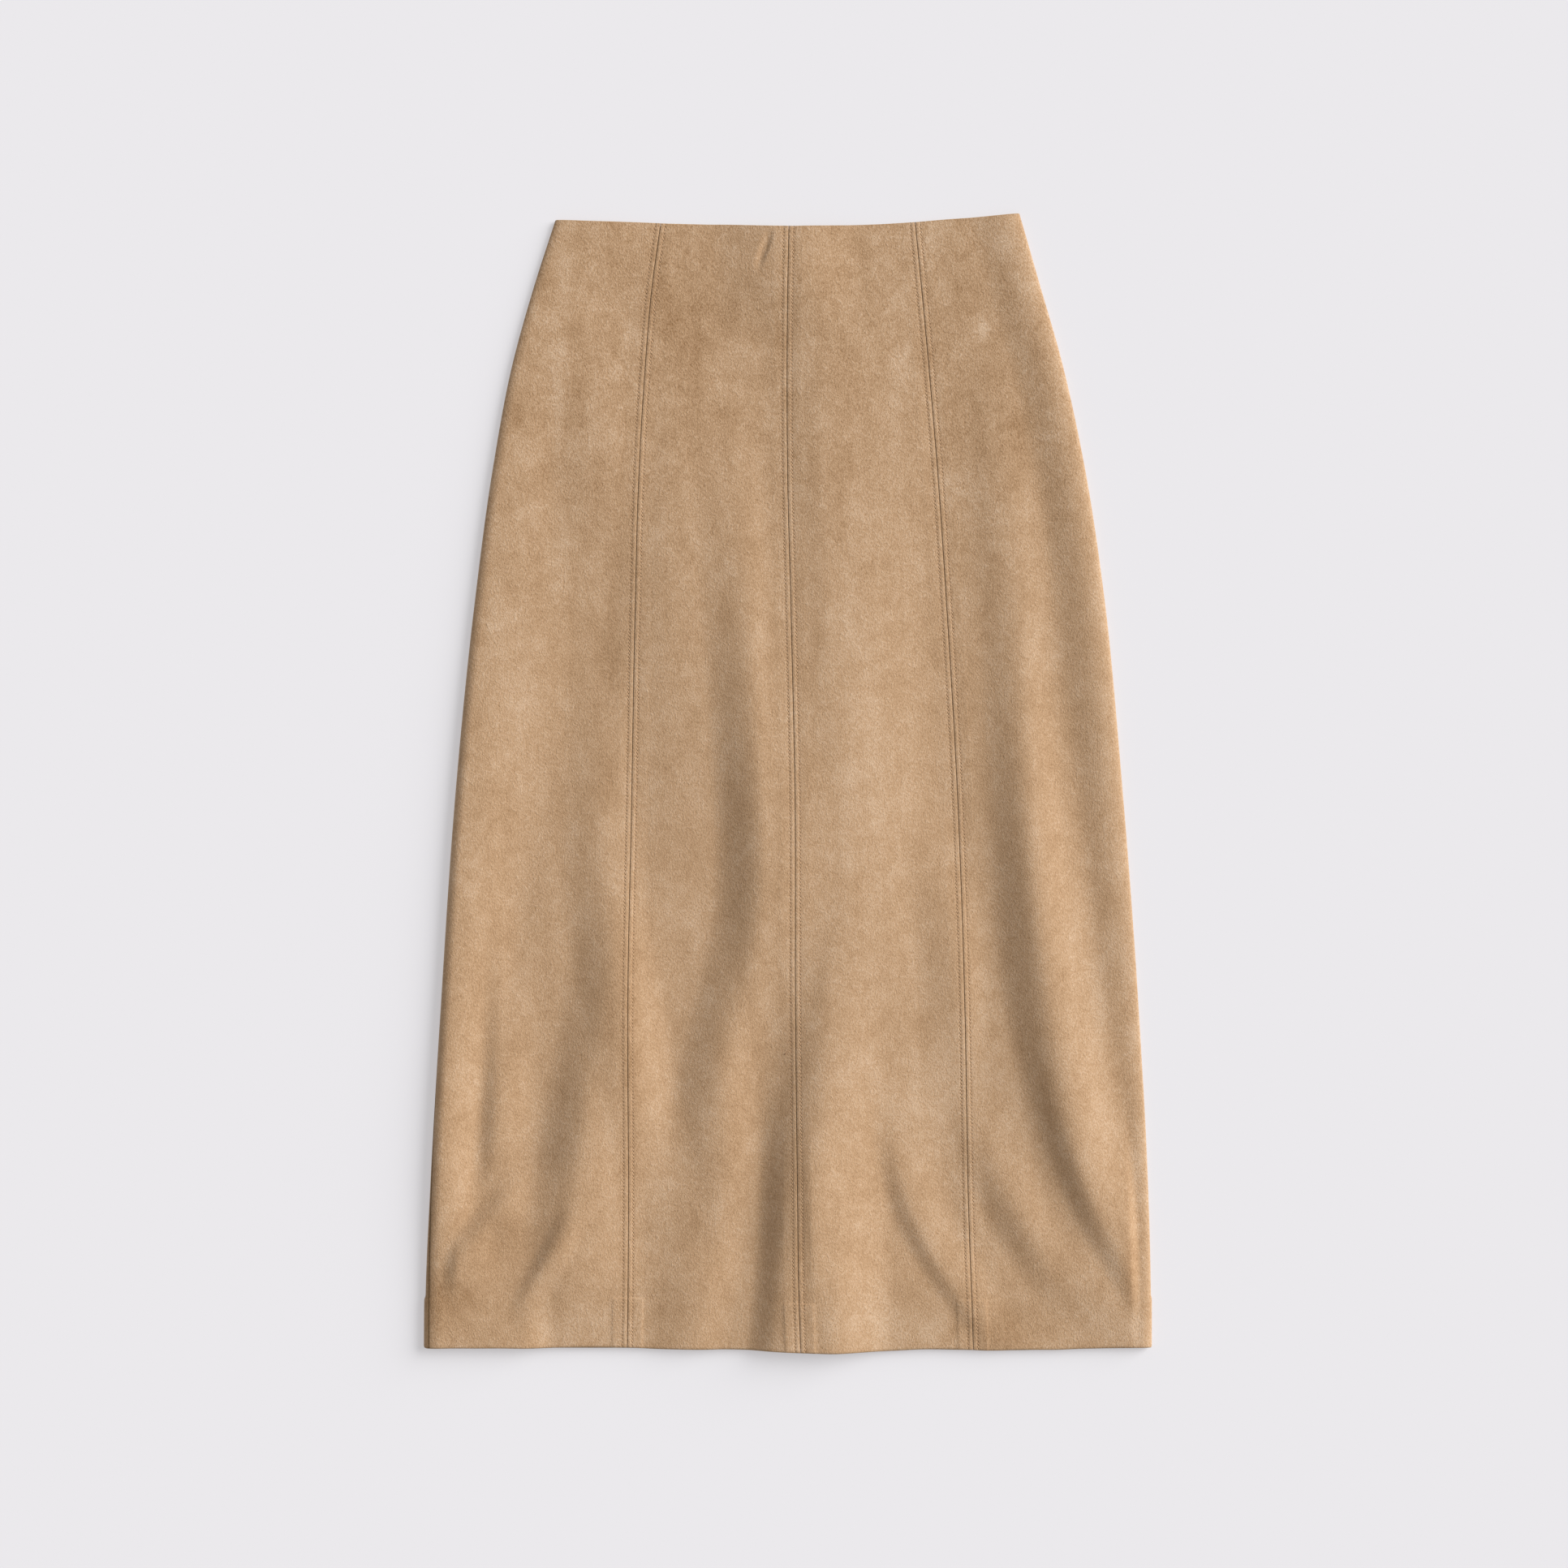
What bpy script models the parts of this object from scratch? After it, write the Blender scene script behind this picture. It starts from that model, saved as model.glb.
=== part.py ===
"""A pencil skirt of faux suede, laid flat on its back.

Four front gores and two back panels make one closed tube of cloth, with a turned-up
hem and a concealed zip in the centre-back seam.  X runs across the skirt (-X is the
wearer's right), +Y runs to the waist, +Z is up.  The back lies on z = 0.

Every cross-section is one ring: flat underneath, rounded at both side folds, and over
the front a rest height plus the side rolls and the folds.  The seams are places along
the ring's length, so the panels share one surface and lie one seam gap apart.
"""

import math

import bmesh
import bpy
import numpy as np

MM = 0.001

# Cloth, in millimetres
CLOTH = 1.2                 # faux suede, one layer
SEAM_GAP = 0.3              # between two panels at a seam
LAYER_GAP = 0.3             # between cloth and what lies on it
HEM_TURN = 38.0             # height of the turned-up hem
REST_HEIGHT = 3.6           # outer height of the front where it lies on the back
HEM_REST_HEIGHT = 5.6       # the same over the doubled hem
BACK_EDGE_DROP = 1.8        # the back's waist and hem edges stay inside the front's

# Waist and hem edges, in millimetres
WAIST_Y = 425.3
HEM_Y = -432.0
WAIST_RISE_COLUMNS = ("start", "over", "rise", "power")
WAIST_RISES = (
    (10.0, -188.0, 4.8, 1.3),   # towards the wearer's right
    (25.0, 150.0, 9.9, 1.5),    # towards the wearer's left
)
HEM_DROP_COLUMNS = ("middle", "half_width", "drop")
HEM_DROPS = (
    (-50.0, 90.0, 1.2),
    (32.0, 85.0, 3.6),          # the centre fold swings forward
    (160.0, 120.0, 1.9),
)
TUCK_EASE = 16.0            # the back's edges drop over this width at the side folds

# Rounded side folds, in millimetres
UNDER_ROUND = 6.5           # the roll's rounding underneath
LEFT_ROLL_FALL = 28.0       # width over which the left roll sinks to the rest height
EDGE_LEVEL = 0.46           # height of the outline's own line, as a part of the roll
LEFT_SEAM_UNDER = 12.5      # the left side seam lies this far round, underneath
SEAM_SPLAY = 0.22           # round a fold the walls' inner edges close up, so a seam
                            # there opens outside by this part of the wall
HEM_RISE_ABOVE = 52.0       # the rest height starts to rise this far above the hem
HEM_RISE_LONG = 50.0        # and takes this long

# One row per section from waist (v = 0) to hem (v = 1), in millimetres: the outline,
# the height of the rounded side folds, how far in their crests lie, the width over
# which the right one sinks to the rest height, and the seams.  side_right is how far
# that seam lies over the fold's edge, onto the front
STATION_COLUMNS = (
    "v", "edge_right", "edge_left", "roll_right", "roll_left", "crest_right",
    "crest_left", "fall_right", "princess_right", "centre", "princess_left",
    "side_right",
)
STATIONS = (
    (0.00, -178.0, 177.0, 5.6, 5.4, 8.0, 12.5, 80.0, -97.5, 0.5, 97.0, -3.0),
    (0.06, -194.5, 191.5, 6.2, 5.8, 8.0, 12.5, 80.0, -104.5, -0.5, 102.0, -3.0),
    (0.13, -211.0, 208.5, 7.0, 6.6, 8.0, 12.5, 80.0, -109.5, -1.0, 107.5, -2.8),
    (0.22, -225.5, 225.5, 7.8, 6.8, 8.0, 12.5, 80.0, -114.0, -0.5, 114.0, -2.4),
    (0.34, -239.5, 241.5, 8.8, 7.0, 8.0, 12.5, 78.0, -117.0, 2.0, 121.0, -2.0),
    (0.50, -253.5, 255.0, 10.0, 6.8, 8.0, 12.5, 68.0, -119.5, 5.0, 129.0, -1.2),
    (0.70, -265.5, 268.0, 11.4, 5.0, 8.0, 11.0, 46.0, -122.5, 5.5, 135.0, 0.4),
    (0.86, -273.5, 275.5, 12.0, 4.6, 8.5, 8.0, 40.0, -122.0, 7.0, 137.5, 3.4),
    (0.95, -277.0, 277.5, 10.4, 5.8, 11.5, 8.0, 55.0, -122.5, 8.0, 140.0, 4.8),
    (1.00, -277.5, 277.5, 10.0, 6.6, 12.0, 8.0, 70.0, -123.0, 9.5, 141.5, 5.0),
)

# One row per fold of the front: a soft ridge along the skirt.  It starts at v0, is
# highest at vp and ends at v1, past the hem where that is over 1.  x0, xp and x1 are
# its crest there, height its rise, and to_right and to_left the widths of its flanks
# towards the wearer's right (-X) and left, all in millimetres
FOLD_COLUMNS = ("v0", "vp", "v1", "x0", "xp", "x1", "height", "to_right", "to_left")
FOLDS = {
    "centre_dome": (-0.10, 0.55, 1.05, 20.0, 35.0, 20.0, 9.5, 52.0, 95.0),
    "centre_low": (0.60, 0.90, 1.60, 24.0, 31.0, 27.0, 9.0, 54.0, 50.0),
    "centre_hem_left": (0.74, 0.88, 1.02, 17.0, 20.0, 30.0, 1.5, 12.0, 30.0),
    "centre_hem": (0.74, 0.90, 1.30, 2.0, -3.0, -40.0, 6.6, 22.0, 38.0),
    "centre_shoulder": (0.10, 0.60, 0.88, -48.0, -19.0, -80.0, 11.0, 40.0, 55.0),
    "right_hip": (0.00, 0.32, 0.75, -95.0, -86.0, -60.0, 4.2, 62.0, 95.0),
    "right_upper": (0.05, 0.20, 0.40, -150.0, -145.0, -150.0, 3.5, 40.0, 40.0),
    "right_centre_low": (0.50, 0.85, 1.25, -75.0, -52.0, -125.0, 3.5, 40.0, 30.0),
    "right_middle": (0.30, 0.60, 1.10, -125.0, -140.0, -50.0, 3.5, 35.0, 35.0),
    "right_low": (0.50, 0.84, 1.02, -110.0, -158.0, -180.0, 9.5, 38.0, 66.0),
    "right_side_low": (0.60, 0.80, 0.92, -216.0, -223.0, -234.0, 4.4, 15.0, 32.0),
    "right_sweep": (0.83, 0.89, 0.97, -190.0, -226.0, -278.0, 6.6, 24.0, 60.0),
    "right_short": (0.86, 0.92, 0.98, -158.0, -183.0, -212.0, 3.6, 12.0, 20.0),
    "right_hem": (0.88, 1.00, 1.30, -200.0, -204.0, -205.0, 4.2, 58.0, 26.0),
    "left_top": (0.08, 0.26, 0.42, 152.0, 156.0, 160.0, 1.0, 24.0, 30.0),
    "left_hip": (0.10, 0.45, 0.78, 165.0, 180.0, 200.0, 3.9, 32.0, 28.0),
    "left_long": (0.36, 0.68, 1.05, 171.0, 198.0, 263.0, 9.3, 38.0, 46.0),
    "left_swing": (0.67, 0.85, 1.05, 188.0, 226.0, 325.0, 4.5, 22.0, 50.0),
    "left_middle": (0.50, 0.65, 0.80, 105.0, 126.0, 127.0, 3.0, 32.0, 28.0),
    "left_centre_low": (0.74, 0.89, 1.04, 86.0, 100.0, 200.0, 3.4, 18.0, 35.0),
    "left_low": (0.76, 0.89, 0.99, 142.0, 182.0, 242.0, 4.4, 30.0, 42.0),
}
FOLD_BEND = 0.03            # stretch over which a crest turns from x0-xp to xp-x1
RIGHT_FOLD_FADE = 14.0      # folds sink into the side rolls over these widths
LEFT_FOLD_FADE = 9.0

# Points of a section, and mesh rows and columns, in millimetres
TURN_POINTS = 17
SPAN_POINTS = 400
FRONT_ROWS = (0.0, 16.2, 34.0, 52.0, 80.0)
BACK_ROWS = (0.0, 4.0, 7.8, 8.6, 15.4, 16.2, 22.0, 28.0, 34.0, 42.0, 52.0, 80.0)
BODY_ROW_COUNT = 21
HEM_ROW_COUNT = 3
HEM_STEP = 2.0              # the wall doubles over this length at the hem's top
SEAM_STEPS = (0.0, 2.0)
RIGHT_FOLD_STEPS = (0.0, 0.5, 3.0, 6.0, 9.0, 12.0, 16.0, 21.0, 28.0, 36.0)
RIGHT_UNDER_STEPS = (0.0, 0.5, 3.0, 5.5, 8.0, 11.0, 14.5, 22.0)
LEFT_FOLD_STEPS = (0.0, 3.0, 6.0, 9.0, 12.0, 15.0, 18.0, 22.0, 27.0, 34.0, 43.0)
ZIP_STEPS = (0.0, 2.2, 4.6, 9.0, 14.0, 20.0)
FRONT_MIDDLE_COLUMNS = 10
FRONT_SIDE_COLUMNS = 7
BACK_COLUMNS = 5

# Concealed zip at the centre back, in millimetres; distances down are from the waist
ZIP_X = 0.0
SLIDER_DOWN = 12.0          # middle of the slider
ZIP_RISE = 2.6              # how far the back arches over the slider and its tab
ZIP_RISE_FLAT = 4.6         # half width of the arch's flat top
ZIP_RISE_WIDE = 20.0        # half width of the whole arch
ZIP_RISE_LONG = 32.0        # flat top, down from the waist
ZIP_RISE_END = 52.0
FRONT_LIFT = 3.1            # how far the front arches over the slider
FRONT_LIFT_FLAT = 8.0       # half width of that arch's flat top
FRONT_LIFT_WIDE = 58.0      # half width of the whole arch
FRONT_LIFT_LONG = 36.0      # flat top, down from the waist
FRONT_LIFT_END = 95.0
TAPE_WIDTH = 24.0
TAPE_THICK = 0.6
TAPE_ROWS = (4.0, 17.0, 22.0, 28.0, 34.0, 42.0, 52.0, 80.0, 120.0, 180.0)
TAPE_OPEN_ROWS = 1          # the rows that the slider's body sits between the tapes
NECK_THICK = 0.8            # X
NECK_HALF = 3.0             # Y
NECK_GAP_HALF = 0.75        # the seam opens to this on each side of the neck
NECK_GAP_EASE = 0.8
NECK_INTO_BODY = 0.5
EYE_HALF = 2.2              # the hole that the tab hangs in
EYE_LOW = 0.5
EYE_HIGH = 1.9
BAIL_LOW = 0.1
BODY_WIDTH = 4.4
BODY_HALF = 4.2
BODY_THICK = 1.0
PIVOT_Z = 1.2
TAB_THICK = 0.5
TAB_WIDTH = 4.4
TAB_LENGTH = 16.0
TAB_BAR_HALF = 0.4
TAB_WINDOW_WIDTH = 2.0
TAB_WINDOW_LENGTH = 3.8
TAB_CHAMFER = 0.3
TAB_END_POINTS = 13
TAB_END_ROUND = 0.42        # radius of the tab's end, as a part of its width

COLLECTION_NAME = "pencil_skirt"
CUTTERS_NAME = "cutters"

# Base colour, roughness and metallic of each material
MATERIALS = {
    "faux_suede": ((0.47, 0.30, 0.18), 0.95, 0.0),
    "zip_tape_fabric": ((0.40, 0.26, 0.16), 0.9, 0.0),
    "zip_metal": ((0.42, 0.33, 0.22), 0.35, 1.0),
}


def column(rows, names, name):
    """One named column of a table, as an array."""
    return np.array([row[names.index(name)] for row in rows])


def smooth(t):
    """Ease from 0 to 1 with no slope at either end."""
    t = np.clip(t, 0.0, 1.0)
    return t * t * (3.0 - 2.0 * t)


def bell(t):
    """A soft ridge: 1 at t = 0, no slope there, and 0 from t = 1 outwards."""
    return 1.0 - smooth(np.abs(t))


def station(name, v):
    """A column of STATIONS at v, on a smooth curve through its rows."""
    vs = column(STATIONS, STATION_COLUMNS, "v")
    values = column(STATIONS, STATION_COLUMNS, name)
    slopes = np.gradient(values, vs)
    i = int(np.clip(np.searchsorted(vs, v, side="right") - 1, 0, len(vs) - 2))
    span = vs[i + 1] - vs[i]
    t = (v - vs[i]) / span
    start = values[i] * (1 + 2 * t) * (1 - t) ** 2 + values[i + 1] * t * t * (3 - 2 * t)
    bend = slopes[i] * t * (1 - t) ** 2 - slopes[i + 1] * t * t * (1 - t)
    return start + bend * span


def waist_edge(x):
    """Y of the waist edge: a shallow dip, higher at the wearer's left."""
    y = WAIST_Y
    for row in WAIST_RISES:
        part = dict(zip(WAIST_RISE_COLUMNS, row))
        along = np.maximum((x - part["start"]) / part["over"], 0.0)
        y = y + part["rise"] * along ** part["power"]
    return y


def hem_edge(x):
    """Y of the hem edge: level, lower where the folds swing forward."""
    y = HEM_Y
    for row in HEM_DROPS:
        part = dict(zip(HEM_DROP_COLUMNS, row))
        y = y - part["drop"] * bell((x - part["middle"]) / part["half_width"])
    return y


SKIRT_LENGTH = WAIST_Y - HEM_Y


def zip_arch(x, v, flat, wide, long, end):
    """1 over the zip's slider and tab, easing to 0 across the skirt and down it."""
    across = (np.abs(x - ZIP_X) - flat) / (wide - flat)
    along = (v * SKIRT_LENGTH - long) / (end - long)
    return (1.0 - smooth(across)) * (1.0 - smooth(along))


def back_rise(x, v):
    """How far the back's outer face arches off z = 0."""
    arch = zip_arch(x, v, ZIP_RISE_FLAT, ZIP_RISE_WIDE, ZIP_RISE_LONG, ZIP_RISE_END)
    return ZIP_RISE * arch


def front_lift(x, v):
    """How far the front arches over the zip, above its rest height."""
    arch = zip_arch(x, v, FRONT_LIFT_FLAT, FRONT_LIFT_WIDE, FRONT_LIFT_LONG, FRONT_LIFT_END)
    return FRONT_LIFT * arch


def fold_crest(fold, v):
    """X of a fold's crest at v: two straight runs with a soft bend at vp."""
    first = (fold["xp"] - fold["x0"]) / (fold["vp"] - fold["v0"])
    second = (fold["x1"] - fold["xp"]) / (fold["v1"] - fold["vp"])
    past = v - fold["vp"]
    turn = np.logaddexp(0.0, past / FOLD_BEND) - math.log(2.0)
    return fold["xp"] + first * past + (second - first) * FOLD_BEND * turn


def fold_height(x, v):
    """Sum of the ridges in FOLDS at x, for one section."""
    total = np.zeros_like(x)
    for row in FOLDS.values():
        fold = dict(zip(FOLD_COLUMNS, row))
        rising = smooth((v - fold["v0"]) / (fold["vp"] - fold["v0"]))
        sinking = smooth((fold["v1"] - v) / (fold["v1"] - fold["vp"]))
        crest = fold_crest(fold, v)
        flank = np.where(x < crest, fold["to_right"], fold["to_left"])
        total += fold["height"] * rising * sinking * bell((x - crest) / flank)
    return total


def front_height(x, v):
    """Outer height of the front at x, for one section, before its edges round off."""
    above_hem = SKIRT_LENGTH - HEM_TURN - v * SKIRT_LENGTH
    in_hem = smooth((HEM_RISE_ABOVE - above_hem) / HEM_RISE_LONG)
    rest = REST_HEIGHT + (HEM_REST_HEIGHT - REST_HEIGHT) * in_hem
    from_right = x - station("edge_right", v) - station("crest_right", v)
    from_left = station("edge_left", v) - station("crest_left", v) - x
    right_fall = np.maximum(from_right, 0.0) / station("fall_right", v)
    left_fall = np.maximum(from_left, 0.0) / LEFT_ROLL_FALL
    right = (station("roll_right", v) - rest) * bell(right_fall)
    left = (station("roll_left", v) - rest) * bell(left_fall)
    fade = smooth(np.minimum(from_right / RIGHT_FOLD_FADE, from_left / LEFT_FOLD_FADE))
    folds = fold_height(x, v) * fade
    return rest + np.maximum(right, left) + folds + front_lift(x, v)


def ring(v):
    """The outer ring at v as x, z and length along it, and where the front ends.

    It starts at the -X outline, runs over the front to the +X outline, and comes back
    underneath.  Both edges are quarter ellipses above and below the outline's line.
    """
    right = station("edge_right", v)
    left = station("edge_left", v)
    turn = np.linspace(0.0, math.pi / 2, TURN_POINTS)
    rise = np.sin(turn)
    across = 1.0 - np.cos(turn)
    right_in = station("crest_right", v)
    left_in = station("crest_left", v)
    front_x = np.concatenate([
        right + right_in * across,
        np.linspace(right + right_in, left - left_in, SPAN_POINTS)[1:-1],
        left - left_in * across[::-1],
    ])
    height = front_height(front_x, v)
    level_right = EDGE_LEVEL * height[0]
    level_left = EDGE_LEVEL * height[-1]
    n = TURN_POINTS
    front_z = height.copy()
    front_z[:n] = level_right + (height[:n] - level_right) * rise
    front_z[-n:] = level_left + (height[-n:] - level_left) * rise[::-1]

    flat = np.linspace(left - UNDER_ROUND, right + UNDER_ROUND, SPAN_POINTS)[1:-1]
    under_x = np.concatenate([
        left - UNDER_ROUND * across[1:],
        flat,
        right + UNDER_ROUND * across[::-1],
    ])
    under_z = np.concatenate([
        level_left * (1.0 - rise[1:]),
        back_rise(flat, v),
        level_right * (1.0 - rise[::-1]),
    ])

    x = np.concatenate([front_x, under_x])
    z = np.concatenate([front_z, under_z])
    length = np.concatenate([[0.0], np.cumsum(np.hypot(np.diff(x), np.diff(z)))])
    return x, z, length, len(front_x) - 1


def seam_lengths(v):
    """Where each seam lies along the ring at v."""
    x, z, length, turn = ring(v)
    over = slice(0, turn + 1)
    under = slice(len(x) - 1, turn - 1, -1)
    at_front = {
        name: float(np.interp(station(name, v), x[over], length[over]))
        for name in ("princess_right", "centre", "princess_left")
    }
    return {
        "side_right": float(station("side_right", v)),
        **at_front,
        "side_left": float(length[turn] + LEFT_SEAM_UNDER),
        "centre_back": float(np.interp(ZIP_X, x[under], length[under])),
        "side_right_again": float(length[-1] + station("side_right", v)),
    }


def ring_points(v, lengths):
    """Points of the skirt at v, at these lengths along the ring, in millimetres."""
    x, z, length, turn = ring(v)
    lengths = np.mod(np.asarray(lengths), length[-1])
    px = np.interp(lengths, length, x)
    pz = np.interp(lengths, length, z)
    inside = np.minimum(px - x.min(), x.max() - px) / TUCK_EASE
    tuck = BACK_EDGE_DROP * smooth(inside) * (lengths > length[turn])
    top = waist_edge(px) - tuck
    bottom = hem_edge(px) + tuck
    return np.column_stack([px, top + (bottom - top) * v, pz])


def spread(start, end, near_start, near_end, count):
    """Lengths from start to end: given steps at each end, even ones between."""
    first = start + np.array(near_start)
    last = end - np.array(near_end[::-1])
    middle = np.linspace(first[-1], last[0], count + 1)[1:-1]
    return np.concatenate([first, middle, last])


def rows_down(near_waist):
    """Section places v: given distances at the waist, even ones, then the hem's."""
    fold = SKIRT_LENGTH - HEM_TURN
    body = np.linspace(near_waist[-1], fold - HEM_STEP, BODY_ROW_COUNT + 1)[1:]
    hem = np.linspace(fold, SKIRT_LENGTH, HEM_ROW_COUNT)
    return np.concatenate([near_waist, body, hem]) / SKIRT_LENGTH


def seam_half_gap(seam, v):
    """Half of a seam's gap, measured on the outside of the cloth."""
    narrow = SEAM_GAP / 2
    if seam == "centre_back":
        off = abs(v * SKIRT_LENGTH - SLIDER_DOWN) - NECK_HALF - LAYER_GAP
        return NECK_GAP_HALF - (NECK_GAP_HALF - narrow) * float(smooth(off / NECK_GAP_EASE))
    if seam.startswith("side_right"):
        in_hem = v * SKIRT_LENGTH > SKIRT_LENGTH - HEM_TURN - 2.0 * CLOTH
        return narrow + SEAM_SPLAY / 2 * CLOTH * (2.0 if in_hem else 1.0)
    return narrow


def link(obj, material):
    """Put an object in the skirt's collection, with its material."""
    bpy.data.collections[COLLECTION_NAME].objects.link(obj)
    obj.data.materials.append(material)
    return obj


def grid_object(name, points, material, skip=None):
    """An open surface through a grid of points, rows by columns by xyz, in millimetres."""
    rows, columns = points.shape[:2]
    mesh = bpy.data.meshes.new(name)
    faces = []
    for r in range(rows - 1):
        for c in range(columns - 1):
            if skip is None or not skip(r, c):
                corner = r * columns + c
                faces.append((corner, corner + columns, corner + columns + 1, corner + 1))
    mesh.from_pydata((points.reshape(-1, 3) * MM).tolist(), [], faces)
    mesh.shade_smooth()
    return link(bpy.data.objects.new(name, mesh), material)


def add_wall(obj, thickness, offset):
    """Give an open surface its wall, in millimetres."""
    wall = obj.modifiers.new("cloth wall", "SOLIDIFY")
    wall.thickness = thickness * MM
    wall.offset = offset
    wall.use_even_offset = True
    return wall


def make_panel(name, start, end, near_start, near_end, count, near_waist, material):
    """One cloth panel between two seams, with its hem turned up to double the wall."""
    vs = rows_down(near_waist)
    points = []
    for v in vs:
        seams = seam_lengths(v)
        first = seams[start] + seam_half_gap(start, v)
        last = seams[end] - seam_half_gap(end, v)
        points.append(ring_points(v, spread(first, last, near_start, near_end, count)))
    points = np.array(points)
    panel = grid_object(name, points, material)
    hem = panel.vertex_groups.new(name="turned hem")
    columns = points.shape[1]
    first = (len(vs) - HEM_ROW_COUNT) * columns
    hem.add(range(first, len(vs) * columns), 1.0, "REPLACE")
    wall = add_wall(panel, 2.0 * CLOTH, -1.0)
    wall.vertex_group = hem.name
    wall.thickness_vertex_group = 0.5
    return panel


def make_panels(suede):
    """The four front gores and the two back panels, in order round the ring."""
    plain = SEAM_STEPS
    front = (FRONT_ROWS, suede)
    back = (BACK_ROWS, suede)
    seams = ("side_right", "princess_right")
    make_panel("front_right_side", *seams, RIGHT_FOLD_STEPS, plain, FRONT_SIDE_COLUMNS, *front)
    seams = ("princess_right", "centre")
    make_panel("front_right_centre", *seams, plain, plain, FRONT_MIDDLE_COLUMNS, *front)
    seams = ("centre", "princess_left")
    make_panel("front_left_centre", *seams, plain, plain, FRONT_MIDDLE_COLUMNS, *front)
    seams = ("princess_left", "side_left")
    make_panel("front_left_side", *seams, plain, LEFT_FOLD_STEPS, FRONT_SIDE_COLUMNS, *front)
    seams = ("side_left", "centre_back")
    make_panel("back_left", *seams, plain, ZIP_STEPS, BACK_COLUMNS, *back)
    seams = ("centre_back", "side_right_again")
    make_panel("back_right", *seams, ZIP_STEPS, RIGHT_UNDER_STEPS, BACK_COLUMNS, *back)


def back_y(down):
    """Y at the centre-back seam, this far down the back."""
    v = down / SKIRT_LENGTH
    return float(ring_points(v, [seam_lengths(v)["centre_back"]])[0, 1])


def make_zip_tape(material):
    """The closed zip's tapes as one strip on the back's inner face, open at the slider."""
    notch = BODY_WIDTH / 2 + LAYER_GAP
    one_side = np.array([notch, *ZIP_STEPS[2:4], TAPE_WIDTH / 2])
    across = ZIP_X + np.concatenate([-one_side[::-1], [0.0], one_side])
    first_open = len(one_side) - 1
    points = []
    for distance in TAPE_ROWS:
        v = distance / SKIRT_LENGTH
        z = back_rise(across, v) + CLOTH + LAYER_GAP
        y = np.full_like(across, back_y(distance))
        points.append(np.column_stack([across, y, z]))

    def open_for_slider(r, c):
        return r < TAPE_OPEN_ROWS and first_open <= c <= first_open + 1

    tape = grid_object("zip_tape", np.array(points), material, open_for_slider)
    bm = bmesh.new()
    bm.from_mesh(tape.data)
    loose = [vert for vert in bm.verts if not vert.link_faces]
    bmesh.ops.delete(bm, geom=loose, context="VERTS")
    bm.to_mesh(tape.data)
    bm.free()
    add_wall(tape, TAPE_THICK, 1.0)


def box_mesh(name, low, high):
    """A box between two corners, in millimetres, made from a unit cube."""
    low = np.array(low)
    high = np.array(high)
    bm = bmesh.new()
    bmesh.ops.create_cube(bm, size=1.0)
    bmesh.ops.scale(bm, vec=(high - low) * MM, verts=bm.verts)
    bmesh.ops.translate(bm, vec=(low + high) / 2 * MM, verts=bm.verts)
    mesh = bpy.data.meshes.new(name)
    bm.to_mesh(mesh)
    bm.free()
    return mesh


def add_boolean(obj, name, low, high, operation):
    """Join or cut a box on an object, both in the object's own millimetres."""
    tool = bpy.data.objects.new(name, box_mesh(name, low, high))
    bpy.data.collections[CUTTERS_NAME].objects.link(tool)
    tool.location = obj.location
    tool.hide_render = True
    tool.display_type = "WIRE"
    boolean = obj.modifiers.new(name, "BOOLEAN")
    boolean.object = tool
    boolean.operation = operation
    boolean.solver = "EXACT"


def make_slider(material):
    """The slider: a bail outside the cloth, a neck through the seam, a body inside."""
    body_low = ZIP_RISE + CLOTH + LAYER_GAP
    half = NECK_THICK / 2
    low = (-half, -NECK_HALF, BAIL_LOW)
    high = (half, NECK_HALF, body_low + NECK_INTO_BODY)
    mesh = box_mesh("zip_slider", low, high)
    slider = link(bpy.data.objects.new("zip_slider", mesh), material)
    slider.location = (ZIP_X * MM, back_y(SLIDER_DOWN) * MM, 0.0)
    low = (-NECK_THICK, -EYE_HALF, EYE_LOW)
    high = (NECK_THICK, EYE_HALF, EYE_HIGH)
    add_boolean(slider, "slider_eye", low, high, "DIFFERENCE")
    low = (-BODY_WIDTH / 2, -BODY_HALF, body_low)
    high = (BODY_WIDTH / 2, BODY_HALF, body_low + BODY_THICK)
    add_boolean(slider, "slider_body", low, high, "UNION")


def tab_outline():
    """The tab's outline: square at its bar, widest at a third, round at its end."""
    steps = np.linspace(0.0, math.pi, TAB_END_POINTS)
    end_radius = TAB_WIDTH * TAB_END_ROUND
    end_centre = TAB_LENGTH - end_radius
    end_x = end_radius * np.cos(steps)
    end_y = -end_centre - end_radius * np.sin(steps)
    half = TAB_WIDTH / 2
    sides = [
        (half - TAB_CHAMFER, TAB_BAR_HALF),
        (half, -TAB_BAR_HALF),
        (half, -TAB_WINDOW_LENGTH),
    ]
    right = [*sides, *zip(end_x, end_y)]
    left = [(-x, y) for x, y in sides[::-1]]
    return right + left


def make_pull_tab(material):
    """The pull tab, a flat plate whose bar hangs in the slider's eye."""
    window_half = TAB_WINDOW_WIDTH / 2
    window = [
        (-window_half, -TAB_BAR_HALF), (window_half, -TAB_BAR_HALF),
        (window_half, -TAB_WINDOW_LENGTH), (-window_half, -TAB_WINDOW_LENGTH),
    ]
    curve = bpy.data.curves.new("zip_pull", "CURVE")
    curve.dimensions = "2D"
    curve.fill_mode = "BOTH"
    curve.extrude = TAB_THICK / 2 * MM
    for outline in (tab_outline(), window):
        spline = curve.splines.new("POLY")
        spline.points.add(len(outline) - 1)
        for point, (x, y) in zip(spline.points, outline):
            point.co = (x * MM, y * MM, 0.0, 1.0)
        spline.use_cyclic_u = True
    tab = link(bpy.data.objects.new("zip_pull", curve), material)
    tab.location = (ZIP_X * MM, back_y(SLIDER_DOWN) * MM, PIVOT_Z * MM)


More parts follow.
